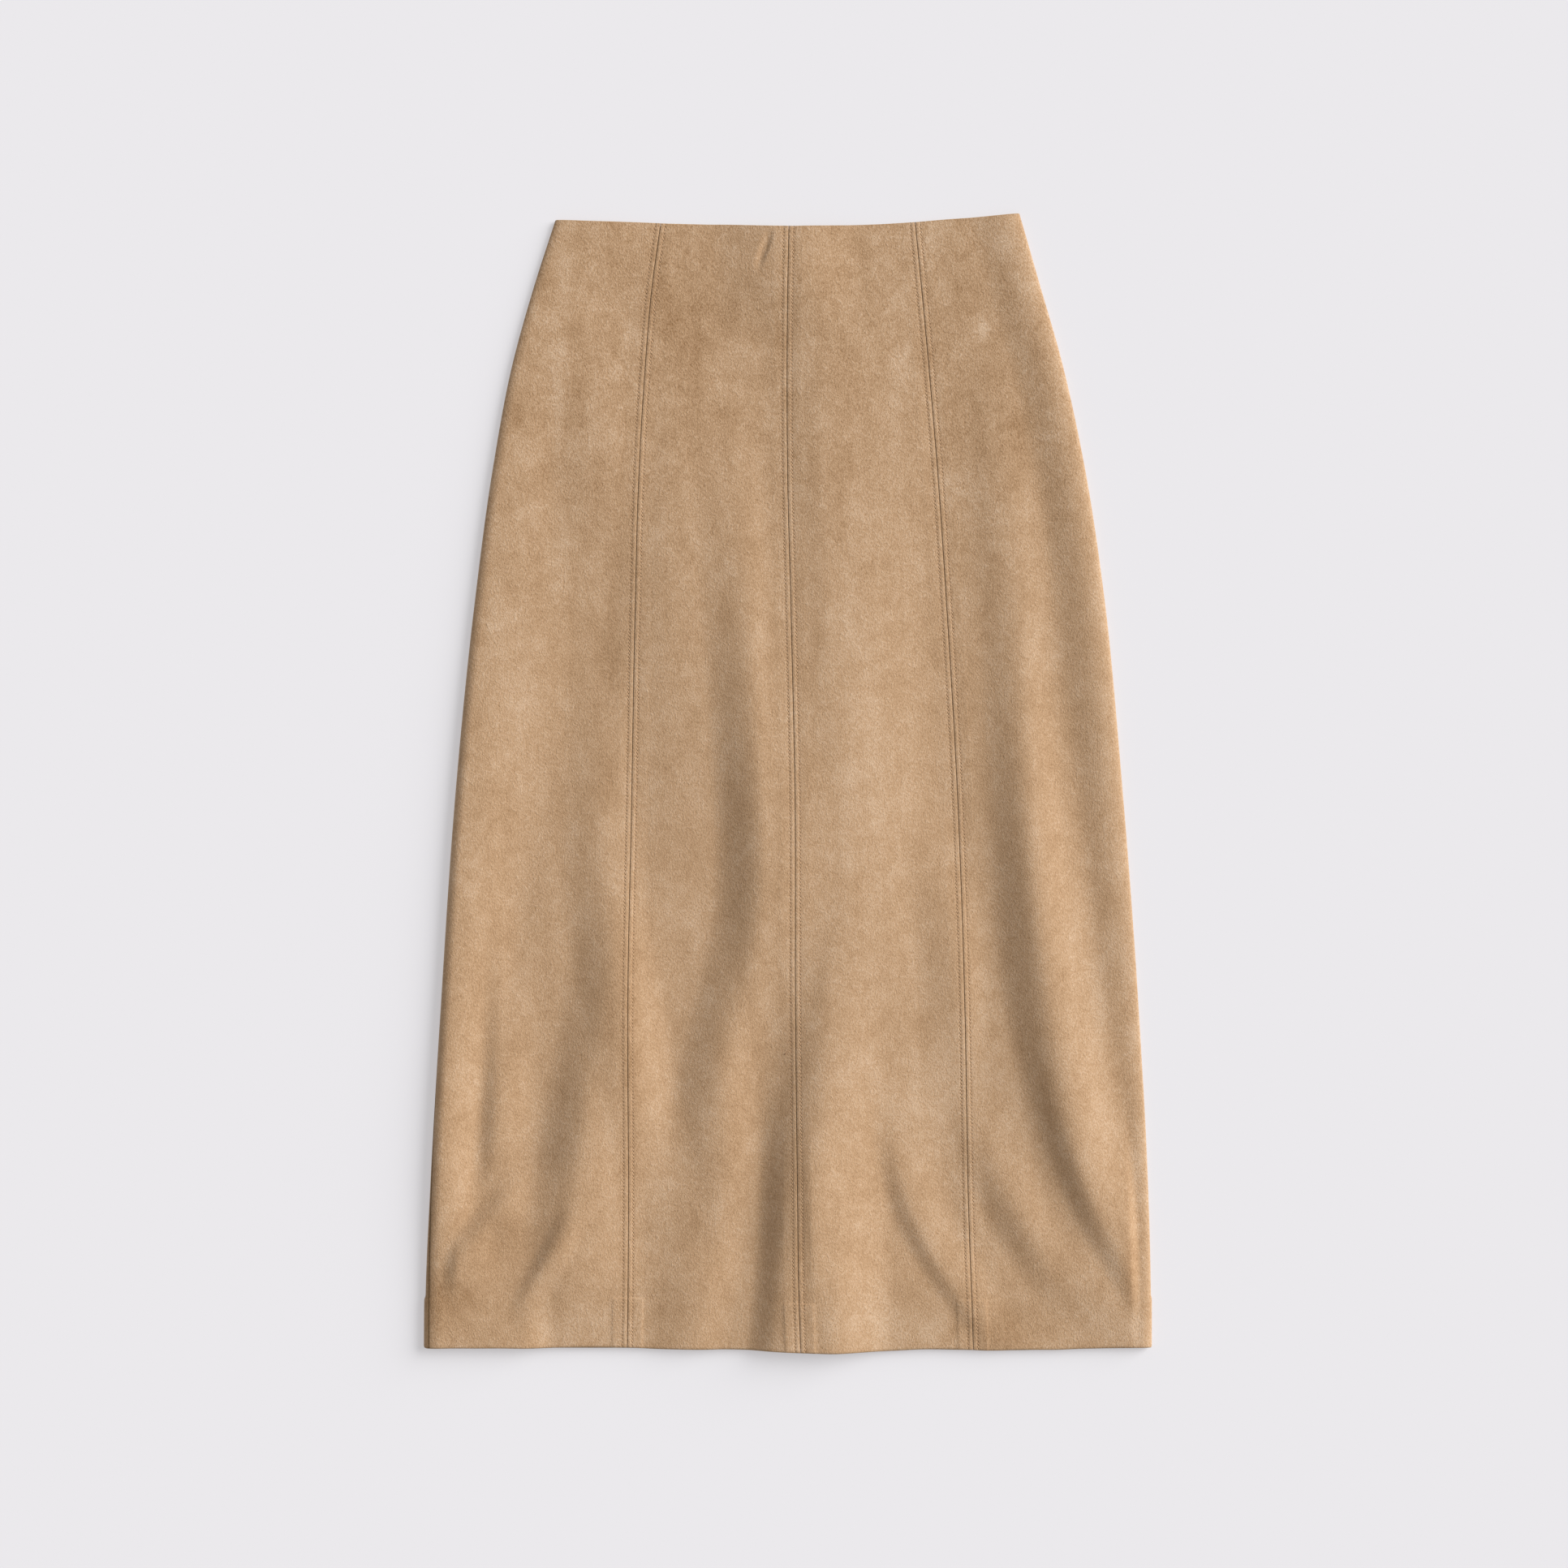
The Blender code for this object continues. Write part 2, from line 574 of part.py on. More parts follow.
def make_material(name):
    """A Principled BSDF material from its row in MATERIALS."""
    colour, roughness, metallic = MATERIALS[name]
    material = bpy.data.materials.new(name)
    material.use_nodes = True
    shader = material.node_tree.nodes["Principled BSDF"]
    shader.inputs["Base Color"].default_value = (*colour, 1.0)
    shader.inputs["Roughness"].default_value = roughness
    shader.inputs["Metallic"].default_value = metallic
    return material


def clear_scene():
    """Start from an empty scene."""
    for obj in list(bpy.data.objects):
        bpy.data.objects.remove(obj, do_unlink=True)


def main():
    """Build every sub-part in an empty scene."""
    clear_scene()
    for name in (COLLECTION_NAME, CUTTERS_NAME):
        group = bpy.data.collections.new(name)
        bpy.context.scene.collection.children.link(group)
    make_panels(make_material("faux_suede"))
    make_zip_tape(make_material("zip_tape_fabric"))
    metal = make_material("zip_metal")
    make_slider(metal)
    make_pull_tab(metal)


main()
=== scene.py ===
"""The looks of a faux suede pencil skirt laid flat on its back.

Lengths are in metres, and the tables are in millimetres.  X runs across the skirt (-X
is the wearer's right), +Y runs to the waist and +Z is up.  Every section of the skirt
is one ring of cloth; the panels, their seams and their stitches are places on it.
"""

import math
from collections import namedtuple
from itertools import starmap

import bpy
import numpy as np
from bpy.props import FloatProperty, FloatVectorProperty, PointerProperty
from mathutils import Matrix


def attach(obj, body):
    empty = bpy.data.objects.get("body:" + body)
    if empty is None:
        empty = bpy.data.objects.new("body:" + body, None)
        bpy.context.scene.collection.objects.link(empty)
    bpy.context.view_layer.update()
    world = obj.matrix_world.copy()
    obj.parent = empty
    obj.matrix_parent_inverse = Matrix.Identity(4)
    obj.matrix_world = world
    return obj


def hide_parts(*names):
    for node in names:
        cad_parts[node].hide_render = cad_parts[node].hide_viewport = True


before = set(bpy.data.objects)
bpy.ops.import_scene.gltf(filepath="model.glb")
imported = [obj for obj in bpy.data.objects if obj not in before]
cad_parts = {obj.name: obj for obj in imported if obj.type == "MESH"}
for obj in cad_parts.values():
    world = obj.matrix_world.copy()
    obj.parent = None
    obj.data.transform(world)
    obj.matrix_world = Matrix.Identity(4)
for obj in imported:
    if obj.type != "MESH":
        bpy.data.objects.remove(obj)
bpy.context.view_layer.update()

bl_info = {
    "name": "Pencil skirt",
    "version": (1, 0, 0),
    "blender": (4, 5, 0),
    "location": "View3D > Sidebar > Skirt",
    "description": "Builds a faux suede pencil skirt laid flat, with its studio",
    "category": "Object",
}

MM = 0.001
BODY = "skirt"  # the body that every made piece rides on

# ---- the cut, in millimetres

WAIST_Y = 425.3
HEM_Y = -432
LENGTH = WAIST_Y - HEM_Y
WaistRise = namedtuple("WaistRise", "start over rise power")
WAIST_RISES = (
    WaistRise(10, -188, 4.8, 1.3),  # towards the wearer's right
    WaistRise(25, 150, 9.9, 1.5),  # towards the wearer's left
)
HemDrop = namedtuple("HemDrop", "middle half_width drop")
HEM_DROPS = (
    HemDrop(-50, 90, 1.2),
    HemDrop(32, 85, 3.6),  # the centre fold swings forward
    HemDrop(160, 120, 1.9),
)
HEM_TURN = 38  # height of the turned-up hem
SEAM_ALLOWANCE = 11.5  # cloth folded back on each side of a seam

# One row per section from waist (v = 0) to hem (v = 1): the outline, the rounded side
# folds' height and how far in their crests lie, the width over which the right one sinks
# to the rest height, and the seams; side_right is how far it lies onto the front
Station = namedtuple("Station", (
    "v edge_right edge_left roll_right roll_left crest_right crest_left fall_right "
    "princess_right centre princess_left side_right"))
STATIONS = (
    (0.00, -178, 177, 5.6, 5.4, 8, 12.5, 80, -97.5, 0.5, 97, -3),
    (0.06, -194.5, 191.5, 6.2, 5.8, 8, 12.5, 80, -104.5, -0.5, 102, -3),
    (0.13, -211, 208.5, 7, 6.6, 8, 12.5, 80, -109.5, -1, 107.5, -2.8),
    (0.22, -225.5, 225.5, 7.8, 6.8, 8, 12.5, 80, -114, -0.5, 114, -2.4),
    (0.34, -239.5, 241.5, 8.8, 7, 8, 12.5, 78, -117, 2, 121, -2),
    (0.50, -253.5, 255, 10, 6.8, 8, 12.5, 68, -119.5, 5, 129, -1.2),
    (0.70, -265.5, 268, 11.4, 5, 8, 11, 46, -122.5, 5.5, 135, 0.4),
    (0.86, -273.5, 275.5, 12, 4.6, 8.5, 8, 40, -122, 7, 137.5, 3.4),
    (0.95, -277, 277.5, 10.4, 5.8, 11.5, 8, 55, -122.5, 8, 140, 4.8),
    (1.00, -277.5, 277.5, 10, 6.6, 12, 8, 70, -123, 9.5, 141.5, 5),
)
REST_HEIGHT = 3.6  # outer height of the front where it lies on the back
HEM_REST_HEIGHT = 5.6  # the same over the doubled hem
UNDER_ROUND = 6.5  # half width of the side folds' round underneath
LEFT_ROLL_FALL = 28  # width over which the left one sinks to the rest height
EDGE_LEVEL = 0.46  # height of the outline's own line, as a part of the fold's
LEFT_SEAM_UNDER = 12.5  # how far the left side seam lies under the fold's edge
BACK_EDGE_DROP = 1.8  # how far the back's waist and hem edges stand back
TUCK_EASE = 16  # and the width over which they do, at the side folds
HEM_RISE_ABOVE = 52  # the rest height starts to rise this far above the hem
HEM_RISE_LONG = 50  # and takes this long

# One row per fold of the front: a soft ridge along the skirt.  It starts at v0, is
# highest at vp and ends at v1, past the hem where that is over 1.  x0, xp and x1 are
# its crest there, height its rise, and to_right and to_left the widths of its flanks
# towards the wearer's right (-X) and left
Fold = namedtuple("Fold", "v0 vp v1 x0 xp x1 height to_right to_left")
FOLDS = {
    "centre_dome": (-0.10, 0.55, 1.05, 20, 35, 20, 9.5, 52, 95),
    "centre_low": (0.60, 0.90, 1.60, 24, 31, 27, 9, 54, 50),
    "centre_hem_left": (0.74, 0.88, 1.02, 17, 20, 30, 1.5, 12, 30),
    "centre_hem": (0.74, 0.90, 1.30, 2, -3, -40, 6.6, 22, 38),
    "centre_shoulder": (0.10, 0.60, 0.88, -48, -19, -80, 11, 40, 55),
    "right_hip": (0.00, 0.32, 0.75, -95, -86, -60, 4.2, 62, 95),
    "right_upper": (0.05, 0.20, 0.40, -150, -145, -150, 3.5, 40, 40),
    "right_centre_low": (0.50, 0.85, 1.25, -75, -52, -125, 3.5, 40, 30),
    "right_middle": (0.30, 0.60, 1.10, -125, -140, -50, 3.5, 35, 35),
    "right_low": (0.50, 0.84, 1.02, -110, -158, -180, 9.5, 38, 66),
    "right_side_low": (0.60, 0.80, 0.92, -216, -223, -234, 4.4, 15, 32),
    "right_sweep": (0.83, 0.89, 0.97, -190, -226, -278, 6.6, 24, 60),
    "right_short": (0.86, 0.92, 0.98, -158, -183, -212, 3.6, 12, 20),
    "right_hem": (0.88, 1.00, 1.30, -200, -204, -205, 4.2, 58, 26),
    "left_top": (0.08, 0.26, 0.42, 152, 156, 160, 1, 24, 30),
    "left_hip": (0.10, 0.45, 0.78, 165, 180, 200, 3.9, 32, 28),
    "left_long": (0.36, 0.68, 1.05, 171, 198, 263, 9.3, 38, 46),
    "left_swing": (0.67, 0.85, 1.05, 188, 226, 325, 4.5, 22, 50),
    "left_middle": (0.50, 0.65, 0.80, 105, 126, 127, 3, 32, 28),
    "left_centre_low": (0.74, 0.89, 1.04, 86, 100, 200, 3.4, 18, 35),
    "left_low": (0.76, 0.89, 0.99, 142, 182, 242, 4.4, 30, 42),
}
FOLD_BEND = 0.03  # softness of a crest's bend, in v
RIGHT_FOLD_FADE = 14  # the ridges fade out over these widths at the side folds
LEFT_FOLD_FADE = 9

# Room over the zip's slider and tab: how high the back and the front rise, and each
# one's half width and length that are level, and where it ends across and down
ZIP_RISE = 2.6
ZIP_RISE_SHAPE = (4.6, 20, 32, 52)
FRONT_LIFT = 3.1
FRONT_LIFT_SHAPE = (8, 58, 36, 95)


def smooth(t):
    """Ease from 0 to 1: 3t^2 - 2t^3."""
    t = np.clip(t, 0, 1)
    return t * t * (3 - 2 * t)


def bell(t):
    """A soft ridge: 1 at 0, easing to 0 at 1 and -1."""
    return 1 - smooth(np.abs(t))


def between(start, end, count):
    """Even steps between two places, without the places."""
    return np.linspace(start, end, count)[1:-1]


def station(name, v):
    """A column of STATIONS at each v: cubic curves through its rows, with the slope
    at each row taken from the rows beside it."""
    rows = list(starmap(Station, STATIONS))
    places, values = (np.array([getattr(row, key) for row in rows]) for key in ("v", name))
    slopes = np.gradient(values, places)
    i = np.clip(np.searchsorted(places, v, side="right") - 1, 0, len(places) - 2)
    span = places[i + 1] - places[i]
    t = (v - places[i]) / span
    blend = smooth(t)
    bend = slopes[i] * (t * (1 - t) ** 2) - slopes[i + 1] * (t * t * (1 - t))
    return values[i] * (1 - blend) + values[i + 1] * blend + bend * span


def waist_edge(x):
    """Y of the waist edge: level in the middle, and a power curve up to each side."""
    y = WAIST_Y
    for row in WAIST_RISES:
        y = y + row.rise * np.maximum((x - row.start) / row.over, 0) ** row.power
    return y


def hem_edge(x):
    """Y of the hem edge: level, lower where the folds swing forward."""
    y = HEM_Y
    for row in HEM_DROPS:
        y = y - row.drop * bell((x - row.middle) / row.half_width)
    return y


def zip_arch(x, v, shape):
    """1 over the zip's slider and tab, easing to 0 across the skirt and down it."""
    flat, wide, long, end = shape
    across = (np.abs(x) - flat) / (wide - flat)
    along = (v * LENGTH - long) / (end - long)
    return (1 - smooth(across)) * (1 - smooth(along))


def fold_heights(x, v):
    """Sum of the ridges in FOLDS.  A crest runs in two straight stretches with a soft
    bend where they meet, and a ridge's section is a bell with unlike flanks."""
    total = np.zeros_like(x)
    for fold in starmap(Fold, FOLDS.values()):
        rising = smooth((v - fold.v0) / (fold.vp - fold.v0))
        sinking = smooth((fold.v1 - v) / (fold.v1 - fold.vp))
        first = (fold.xp - fold.x0) / (fold.vp - fold.v0)
        second = (fold.x1 - fold.xp) / (fold.v1 - fold.vp)
        past = v - fold.vp
        turn = FOLD_BEND * (np.logaddexp(0, past / FOLD_BEND) - math.log(2))
        crest = fold.xp + first * past + (second - first) * turn
        flank = np.where(x < crest, fold.to_right, fold.to_left)
        total += fold.height * rising * sinking * bell((x - crest) / flank)
    return total


def front_height(x, v):
    """Outer height of the front: a rest height, the side folds sinking to it, the
    ridges, and the lift over the zip."""
    above_hem = LENGTH - HEM_TURN - v * LENGTH
    in_hem = smooth((HEM_RISE_ABOVE - above_hem) / HEM_RISE_LONG)
    rest = REST_HEIGHT + (HEM_REST_HEIGHT - REST_HEIGHT) * in_hem
    from_right = x - station("edge_right", v) - station("crest_right", v)
    from_left = station("edge_left", v) - station("crest_left", v) - x
    right_fall = np.maximum(from_right, 0) / station("fall_right", v)
    left_fall = np.maximum(from_left, 0) / LEFT_ROLL_FALL
    right = (station("roll_right", v) - rest) * bell(right_fall)
    left = (station("roll_left", v) - rest) * bell(left_fall)
    fade = smooth(np.minimum(from_right / RIGHT_FOLD_FADE, from_left / LEFT_FOLD_FADE))
    lift = FRONT_LIFT * zip_arch(x, v, FRONT_LIFT_SHAPE)
    return rest + np.maximum(right, left) + fold_heights(x, v) * fade + lift


TURN_POINTS = 33  # points in each quarter ellipse of a ring
FRONT_POINTS = 1000  # and from one side fold to the other, over and under
UNDER_POINTS = 500


class Ring:
    """The outer ring of cloth at every section: x, z and length along it.

    It starts at the -X outline, runs over the front to the +X outline and comes back
    underneath.  Each edge is two quarter ellipses, above and below the outline."""

    def __init__(self, v):
        self.v = v = v[:, None]
        self.right = right = station("edge_right", v)
        self.left = left = station("edge_left", v)
        turn = np.linspace(0, math.pi / 2, TURN_POINTS)
        rise = np.sin(turn)
        across = 1 - np.cos(turn)
        right_in = station("crest_right", v)
        left_in = station("crest_left", v)
        first = right + right_in
        wide = left - left_in - first
        front_x = np.hstack([
            right + right_in * across,
            first + wide * between(0, 1, FRONT_POINTS),
            left - left_in * across[::-1],
        ])
        height = front_height(front_x, v)
        level_right = EDGE_LEVEL * height[:, :1]
        level_left = EDGE_LEVEL * height[:, -1:]
        n = TURN_POINTS
        front_z = height.copy()
        front_z[:, :n] = level_right + (height[:, :n] - level_right) * rise
        front_z[:, -n:] = level_left + (height[:, -n:] - level_left) * rise[::-1]
        wide = right - left + 2 * UNDER_ROUND
        flat = left - UNDER_ROUND + wide * between(0, 1, UNDER_POINTS)
        under_x = np.hstack([
            left - UNDER_ROUND * across[1:], flat, right + UNDER_ROUND * across[::-1]])
        under_z = np.hstack([
            level_left * (1 - rise[1:]),
            ZIP_RISE * zip_arch(flat, v, ZIP_RISE_SHAPE),
            level_right * (1 - rise[::-1]),
        ])
        self.x = np.hstack([front_x, under_x])
        self.z = np.hstack([front_z, under_z])
        self.turn = turn = front_x.shape[1] - 1
        steps = np.hypot(np.diff(self.x, axis=1), np.diff(self.z, axis=1))
        self.length = np.hstack([np.zeros_like(v), np.cumsum(steps, axis=1)])
        self.front = self.length[:, turn:turn + 1]

    @staticmethod
    def look_up(query, places, values):
        """Linear look-up row by row in one call: each row is shifted past the last."""
        span = 2 * (np.abs(places).max() + np.abs(query).max())
        shift = span * np.arange(len(places))[:, None]
        found = np.interp((query + shift).ravel(), (places + shift).ravel(), values.ravel())
        return found.reshape(query.shape)

    def back_at(self, x):
        """Length along the ring at these x on the back, where it runs towards -X."""
        under = slice(None, self.turn - 1, -1)
        return self.look_up(x, self.x[:, under], self.length[:, under])

    def seam(self, name):
        """Length along the ring at which a seam lies, one for each section."""
        if name == "side_right":
            return station("side_right", self.v)
        if name == "side_right_again":
            return self.length[:, -1:] + station("side_right", self.v)
        if name == "side_left":
            return self.front + LEFT_SEAM_UNDER
        if name == "centre_back":
            return self.back_at(np.zeros_like(self.v))
        over = slice(self.turn + 1)
        return self.look_up(station(name, self.v), self.x[:, over], self.length[:, over])

    def points(self, lengths):
        """Points at these lengths along the ring, rows by columns by xyz."""
        total = self.length[:, -1:]
        lengths = np.where(lengths < 0, lengths + total, lengths)
        lengths = np.where(lengths > total, lengths - total, lengths)
        x = self.look_up(lengths, self.length, self.x)
        z = self.look_up(lengths, self.length, self.z)
        inside = np.minimum(x - self.right, self.left - x) / TUCK_EASE
        tuck = BACK_EDGE_DROP * smooth(inside) * (lengths > self.front)
        top = waist_edge(x) - tuck
        y = top + (hem_edge(x) + tuck - top) * self.v
        return np.stack([x, y, z], axis=2)


# ---- small relief, in millimetres

# Distances from a seam at which a panel has columns, and from the edges for its rows
SEAM_COLUMNS = (
    0, 0.12, 0.3, 0.5, 0.75, 1.05, 1.5, 2, 2.6, 3.1, 3.4, 3.7, 4, 4.4, 5, 6,
    7.6, 9.4, 10.6, 11.2, 11.8, 12.6,
)
SIDE_COLUMNS = (0, 0.12, 0.3, 0.5, 0.8, 1.2, 1.8, 2.6) + tuple(
    2.6 + 1.15 * i for i in range(1, 25)
)
PLAIN_COLUMNS = (0, 0.12, 0.3, 0.5, 0.8, 1.2, 1.8, 2.8, 4, 6, 8.5, 11, 12.5)
WAIST_ROWS = (0, 0.1, 0.25, 0.5, 0.8, 1.3, 2, 3, 4.4, 6.2)
HEM_ROWS = (0, 0.12, 0.3, 0.6, 1, 1.6, 2.4, 3.4, 4.8, 6.6)
HEM_LINE_ROWS = (-5, -3.8, -2.8, -2, -1.3, -0.6, 0, 0.6, 1.3, 2, 2.8, 3.8, 5)
BODY_ROWS = 318  # even rows from waist to hem line, and from there to the hem
BAND_ROWS = 12

HEM_STEP_TOP = 0.12  # how far the doubled hem stands up, on the front
HEM_STEP_SIDE = 1  # and sideways, at the rounded side folds
HEM_STEP_SOFT = 8  # length of that step
EDGE_WAVER = 0.35  # unevenness of the waist and hem edges: height and length
EDGE_WAVER_LONG = 17
EDGE_WAVER_DEEP = 0.02  # and how far it reaches into the cloth, in v
UP_GAIN = 1.4  # relief is full where the cloth leans by up to 44 degrees

# Unevenness of handled cloth: the size of its humps across and along the skirt, their
# height, and how far they slant
Hump = namedtuple("Hump", "across along height slant")
UNEVEN = (
    (62, 120, 0.35, 0.15),
    (26, 75, 0.2, -0.1),
    (11, 46, 0.06, 0.08),
    (17, 19, 0.06, 0.3),
)
LATTICE = 97  # humps that pass before they come again

# The pucker beside the centre seam at the waist: both ends, depth, and the widths of
# its walls towards -X and +X
Crease = namedtuple("Crease", "x0 y0 x1 y1 depth wide_right wide_left")
PUCKER = Crease(-12, 422, -23.5, 392, 1.7, 5.5, 3)

# Each kind of seam: the columns beside it; height of the padded band, depth of the
# dent under the stitches, softness and height of the allowance's edge and its height in
# the hem; and how much shade is painted into the nap at the seam, and over what width
Seam = namedtuple("Seam", "columns band dent soft step step_in_hem dark wide")
TOPSTITCHED = Seam(SEAM_COLUMNS, 0.16, 0.14, 2.2, 0.05, 0.32, 0.4, 0.5)
PLAIN = Seam(PLAIN_COLUMNS, 0, 0, 2, 0, 0.1, 0.8, 0.9)
ROLLED = PLAIN._replace(columns=SIDE_COLUMNS)
DENT_HALF = 1.1  # half width of the dent
EDGE_PAINTED_SHADE = 0.35  # painted shade at the waist and hem edges: how dark, and over what width
EDGE_PAINTED_SHADE_WIDE = 0.9


def lattice(x, y, across, along, slant, seed):
    """Uneven values about 0: random numbers on a slanted lattice of this size, joined
    by cubic B-splines so that no line of the lattice shows."""
    numbers = np.random.default_rng(seed).uniform(-2, 2, (LATTICE, LATTICE))
    u = (x + slant * y) / across
    w = y / along
    row, place = np.floor(u).astype(int), np.floor(w).astype(int)
    total = np.zeros_like(u)
    for i, weight_i in enumerate(spline_weights(u - row)):
        for j, weight_j in enumerate(spline_weights(w - place)):
            near = numbers[(row + i) % LATTICE, (place + j) % LATTICE]
            total += weight_i * weight_j * near
    return total


def spline_weights(t):
    """The four weights of a uniform cubic B-spline at t, from 0 to 1."""
    return (
        (1 - t) ** 3 / 6,
        (3 * t ** 3 - 6 * t ** 2 + 4) / 6,
        (-3 * t ** 3 + 3 * t ** 2 + 3 * t + 1) / 6,
        t ** 3 / 6,
    )


def unevenness(x, y):
    """Sum of the humps in UNEVEN."""
    total = np.zeros_like(x)
    for seed, hump in enumerate(starmap(Hump, UNEVEN)):
        total += hump.height * lattice(x, y, hump.across, hump.along, hump.slant, seed)
    return total


def crease_height(crease, x, y):
    """A trough: along it full depth in the middle easing out at both ends, and across
    it a bell with unlike walls."""
    run = np.array([crease.x1 - crease.x0, crease.y1 - crease.y0])
    length = np.hypot(*run)
    run = run / length
    along = ((x - crease.x0) * run[0] + (y - crease.y0) * run[1]) / length
    across = (y - crease.y0) * run[0] - (x - crease.x0) * run[1]
    wall = np.where(across < 0, crease.wide_right, crease.wide_left)
    return -crease.depth * bell(across / wall) * bell(2 * along - 1) ** 0.5


def edge_round(distance, radius):
    """How far a rounded edge falls, from 1 at the edge to 0 at radius: a quarter
    ellipse."""
    inward = np.clip(distance / radius, 0, 1)
    return 1 - np.sqrt(1 - (1 - inward) ** 2)


def hem_band(v, soft=2):
    """1 in the turned-up hem and 0 above it, with a step this long at the hem's top."""
    return smooth((v * LENGTH - LENGTH + HEM_TURN) / soft + 0.5)


def seam_relief(kind, distance, v, cloth):
    """Relief beside a seam: a narrow groove on it, a padded band over the folded
    allowance, a dent under the stitch line, and the step of the allowance's edge."""
    groove = -cloth.groove_depth / MM * edge_round(distance, cloth.groove_width / MM)
    line = cloth.stitch_inset / MM
    band = kind.band * bell((distance - 0.5 * line) / (0.6 * line))
    dent = kind.dent * bell((distance - line) / DENT_HALF)
    step = smooth((SEAM_ALLOWANCE - distance) / kind.soft + 0.5)
    return groove + band - dent + step * (kind.step + kind.step_in_hem * hem_band(v))


def section_rows():
    """Places v of the rows: close at both edges and at the hem's top, even between."""
    waist = np.array(WAIST_ROWS)
    hem = LENGTH - np.array(HEM_ROWS[::-1])
    line = LENGTH - HEM_TURN + np.array(HEM_LINE_ROWS)
    body = between(waist[-1], line[0], BODY_ROWS)
    below = between(line[-1], hem[0], BAND_ROWS)
    return np.concatenate([waist, body, line, below, hem]) / LENGTH


def column_lengths(start, end, kinds, count):
    """Lengths of a panel's columns: given steps at each seam, even ones between."""
    first = start + np.array(kinds[0].columns)
    last = end - np.array(kinds[1].columns[::-1])
    t = between(0, 1, count + 2)
    return np.hstack([first, first[:, -1:] + (last[:, :1] - first[:, -1:]) * t, last])


# ---- meshes and materials


def unit(vectors):
    """Vectors divided by their lengths."""
    return vectors / np.linalg.norm(vectors, axis=-1, keepdims=True)


def grid_normals(points):
    """Unit normals of a grid: down the rows crossed with along the columns."""
    return unit(np.cross(np.gradient(points, axis=0), np.gradient(points, axis=1)))


def shell_mesh(name, outer, inner):
    """A closed wall between two grids of the same size: the outer faces, the inner
    ones turned over, and a rim that follows the border once round."""
    rows, columns = outer.shape[:2]
    count = rows * columns
    index = np.arange(count).reshape(rows, columns)
    top = grid_quads(index)
    border = np.concatenate([
        index[:, 0], index[-1, 1:], index[-2::-1, -1], index[0, -2:0:-1],
    ])
    following = np.roll(border, -1)
    rim = np.stack([following, border, border + count, following + count], axis=1)
    points = np.concatenate([outer.reshape(-1, 3), inner.reshape(-1, 3)])
    return quad_mesh(name, points, np.concatenate([top, top[:, ::-1] + count, rim]))


def grid_quads(index):
    """Faces between the neighbours of a grid of point numbers."""
    a, b = index[:-1, :-1], index[1:, :-1]
    c, d = index[1:, 1:], index[:-1, 1:]
    return np.stack([a, b, c, d], axis=2).reshape(-1, 4)


def quad_mesh(name, points, quads):
    """A smooth-shaded mesh from points in millimetres and four-cornered faces."""
    mesh = bpy.data.meshes.new(name)
    mesh.vertices.add(len(points))
    mesh.vertices.foreach_set("co", (points * MM).astype(np.float32).ravel())
    mesh.loops.add(quads.size)
    mesh.loops.foreach_set("vertex_index", quads.astype(np.int32).ravel())
    mesh.polygons.add(len(quads))
    mesh.polygons.foreach_set("loop_start", np.arange(0, quads.size, 4, dtype=np.int32))
    mesh.update(calc_edges=True)
    mesh.validate()
    mesh.polygons.foreach_set("use_smooth", np.ones(len(mesh.polygons), dtype=bool))
    return mesh


WIRE_END = 0.3  # radius of a wire's ends, as a part of its own


def hexagons(centre, across, up, radius):
    """Points of a hexagon round each centre, in the plane of its two directions."""
    turn = np.linspace(0, 2 * math.pi, 6, endpoint=False)[:, None]
    around = np.cos(turn) * across[..., None, :] + np.sin(turn) * up[..., None, :]
    return centre[..., None, :] + around * radius[..., None, None]


def tube_faces(rings):
    """Faces of a closed tube of hexagons: its walls, and two over each end."""
    index = np.arange(rings * 6).reshape(rings, 6)
    wall = grid_quads(np.hstack([index, index[:, :1]]))
    first, last = index[[0, -1]]
    caps = [first[[0, 1, 2, 3]], first[[0, 3, 4, 5]], last[[3, 2, 1, 0]], last[[5, 4, 3, 0]]]
    return np.concatenate([wall, caps])


def wire_mesh(name, path, radius):
    """A wire along a path of points: at each a hexagon square to the path, with both
    ends narrowed and closed."""
    tangent = unit(np.gradient(path, axis=0))
    side = unit(np.cross(tangent, (0, 0, 1)))
    reach = np.full(len(path), radius)
    reach[[0, -1]] *= WIRE_END
    points = hexagons(path, side, np.cross(side, tangent), reach)
    return quad_mesh(name, points.reshape(-1, 3), tube_faces(len(path)))


def linear(hex_colour):
    """An sRGB hex colour as linear red, green and blue."""
    parts = [int(hex_colour[i:i + 2], 16) / 255 for i in (0, 2, 4)]
    return tuple(p / 12.92 if p <= 0.04045 else ((p + 0.055) / 1.055) ** 2.4 for p in parts)


def add_node(tree, kind, inputs=None, **settings):
    """One node with its settings; each input is a constant, another node's socket, or a
    node for its first socket."""
    node = tree.nodes.new("ShaderNode" + kind)
    for name, value in settings.items():
        setattr(node, name, value)
    for name, value in (inputs or {}).items():
        if isinstance(value, bpy.types.Node):
            value = value.outputs[0]
        if isinstance(value, bpy.types.NodeSocket):
            tree.links.new(value, node.inputs[name])
        else:
            node.inputs[name].default_value = value
    return node


def new_material(name, **shader_inputs):
    """A material with its shader and output, and these constants on the shader."""
    material = bpy.data.materials.new(name)
    material.use_nodes = True
    tree = material.node_tree
    tree.nodes.clear()
    named = {key.replace("_", " "): value for key, value in shader_inputs.items()}
    shader = add_node(tree, "BsdfPrincipled", named)
    add_node(tree, "OutputMaterial", {"Surface": shader})
    return material, tree, shader
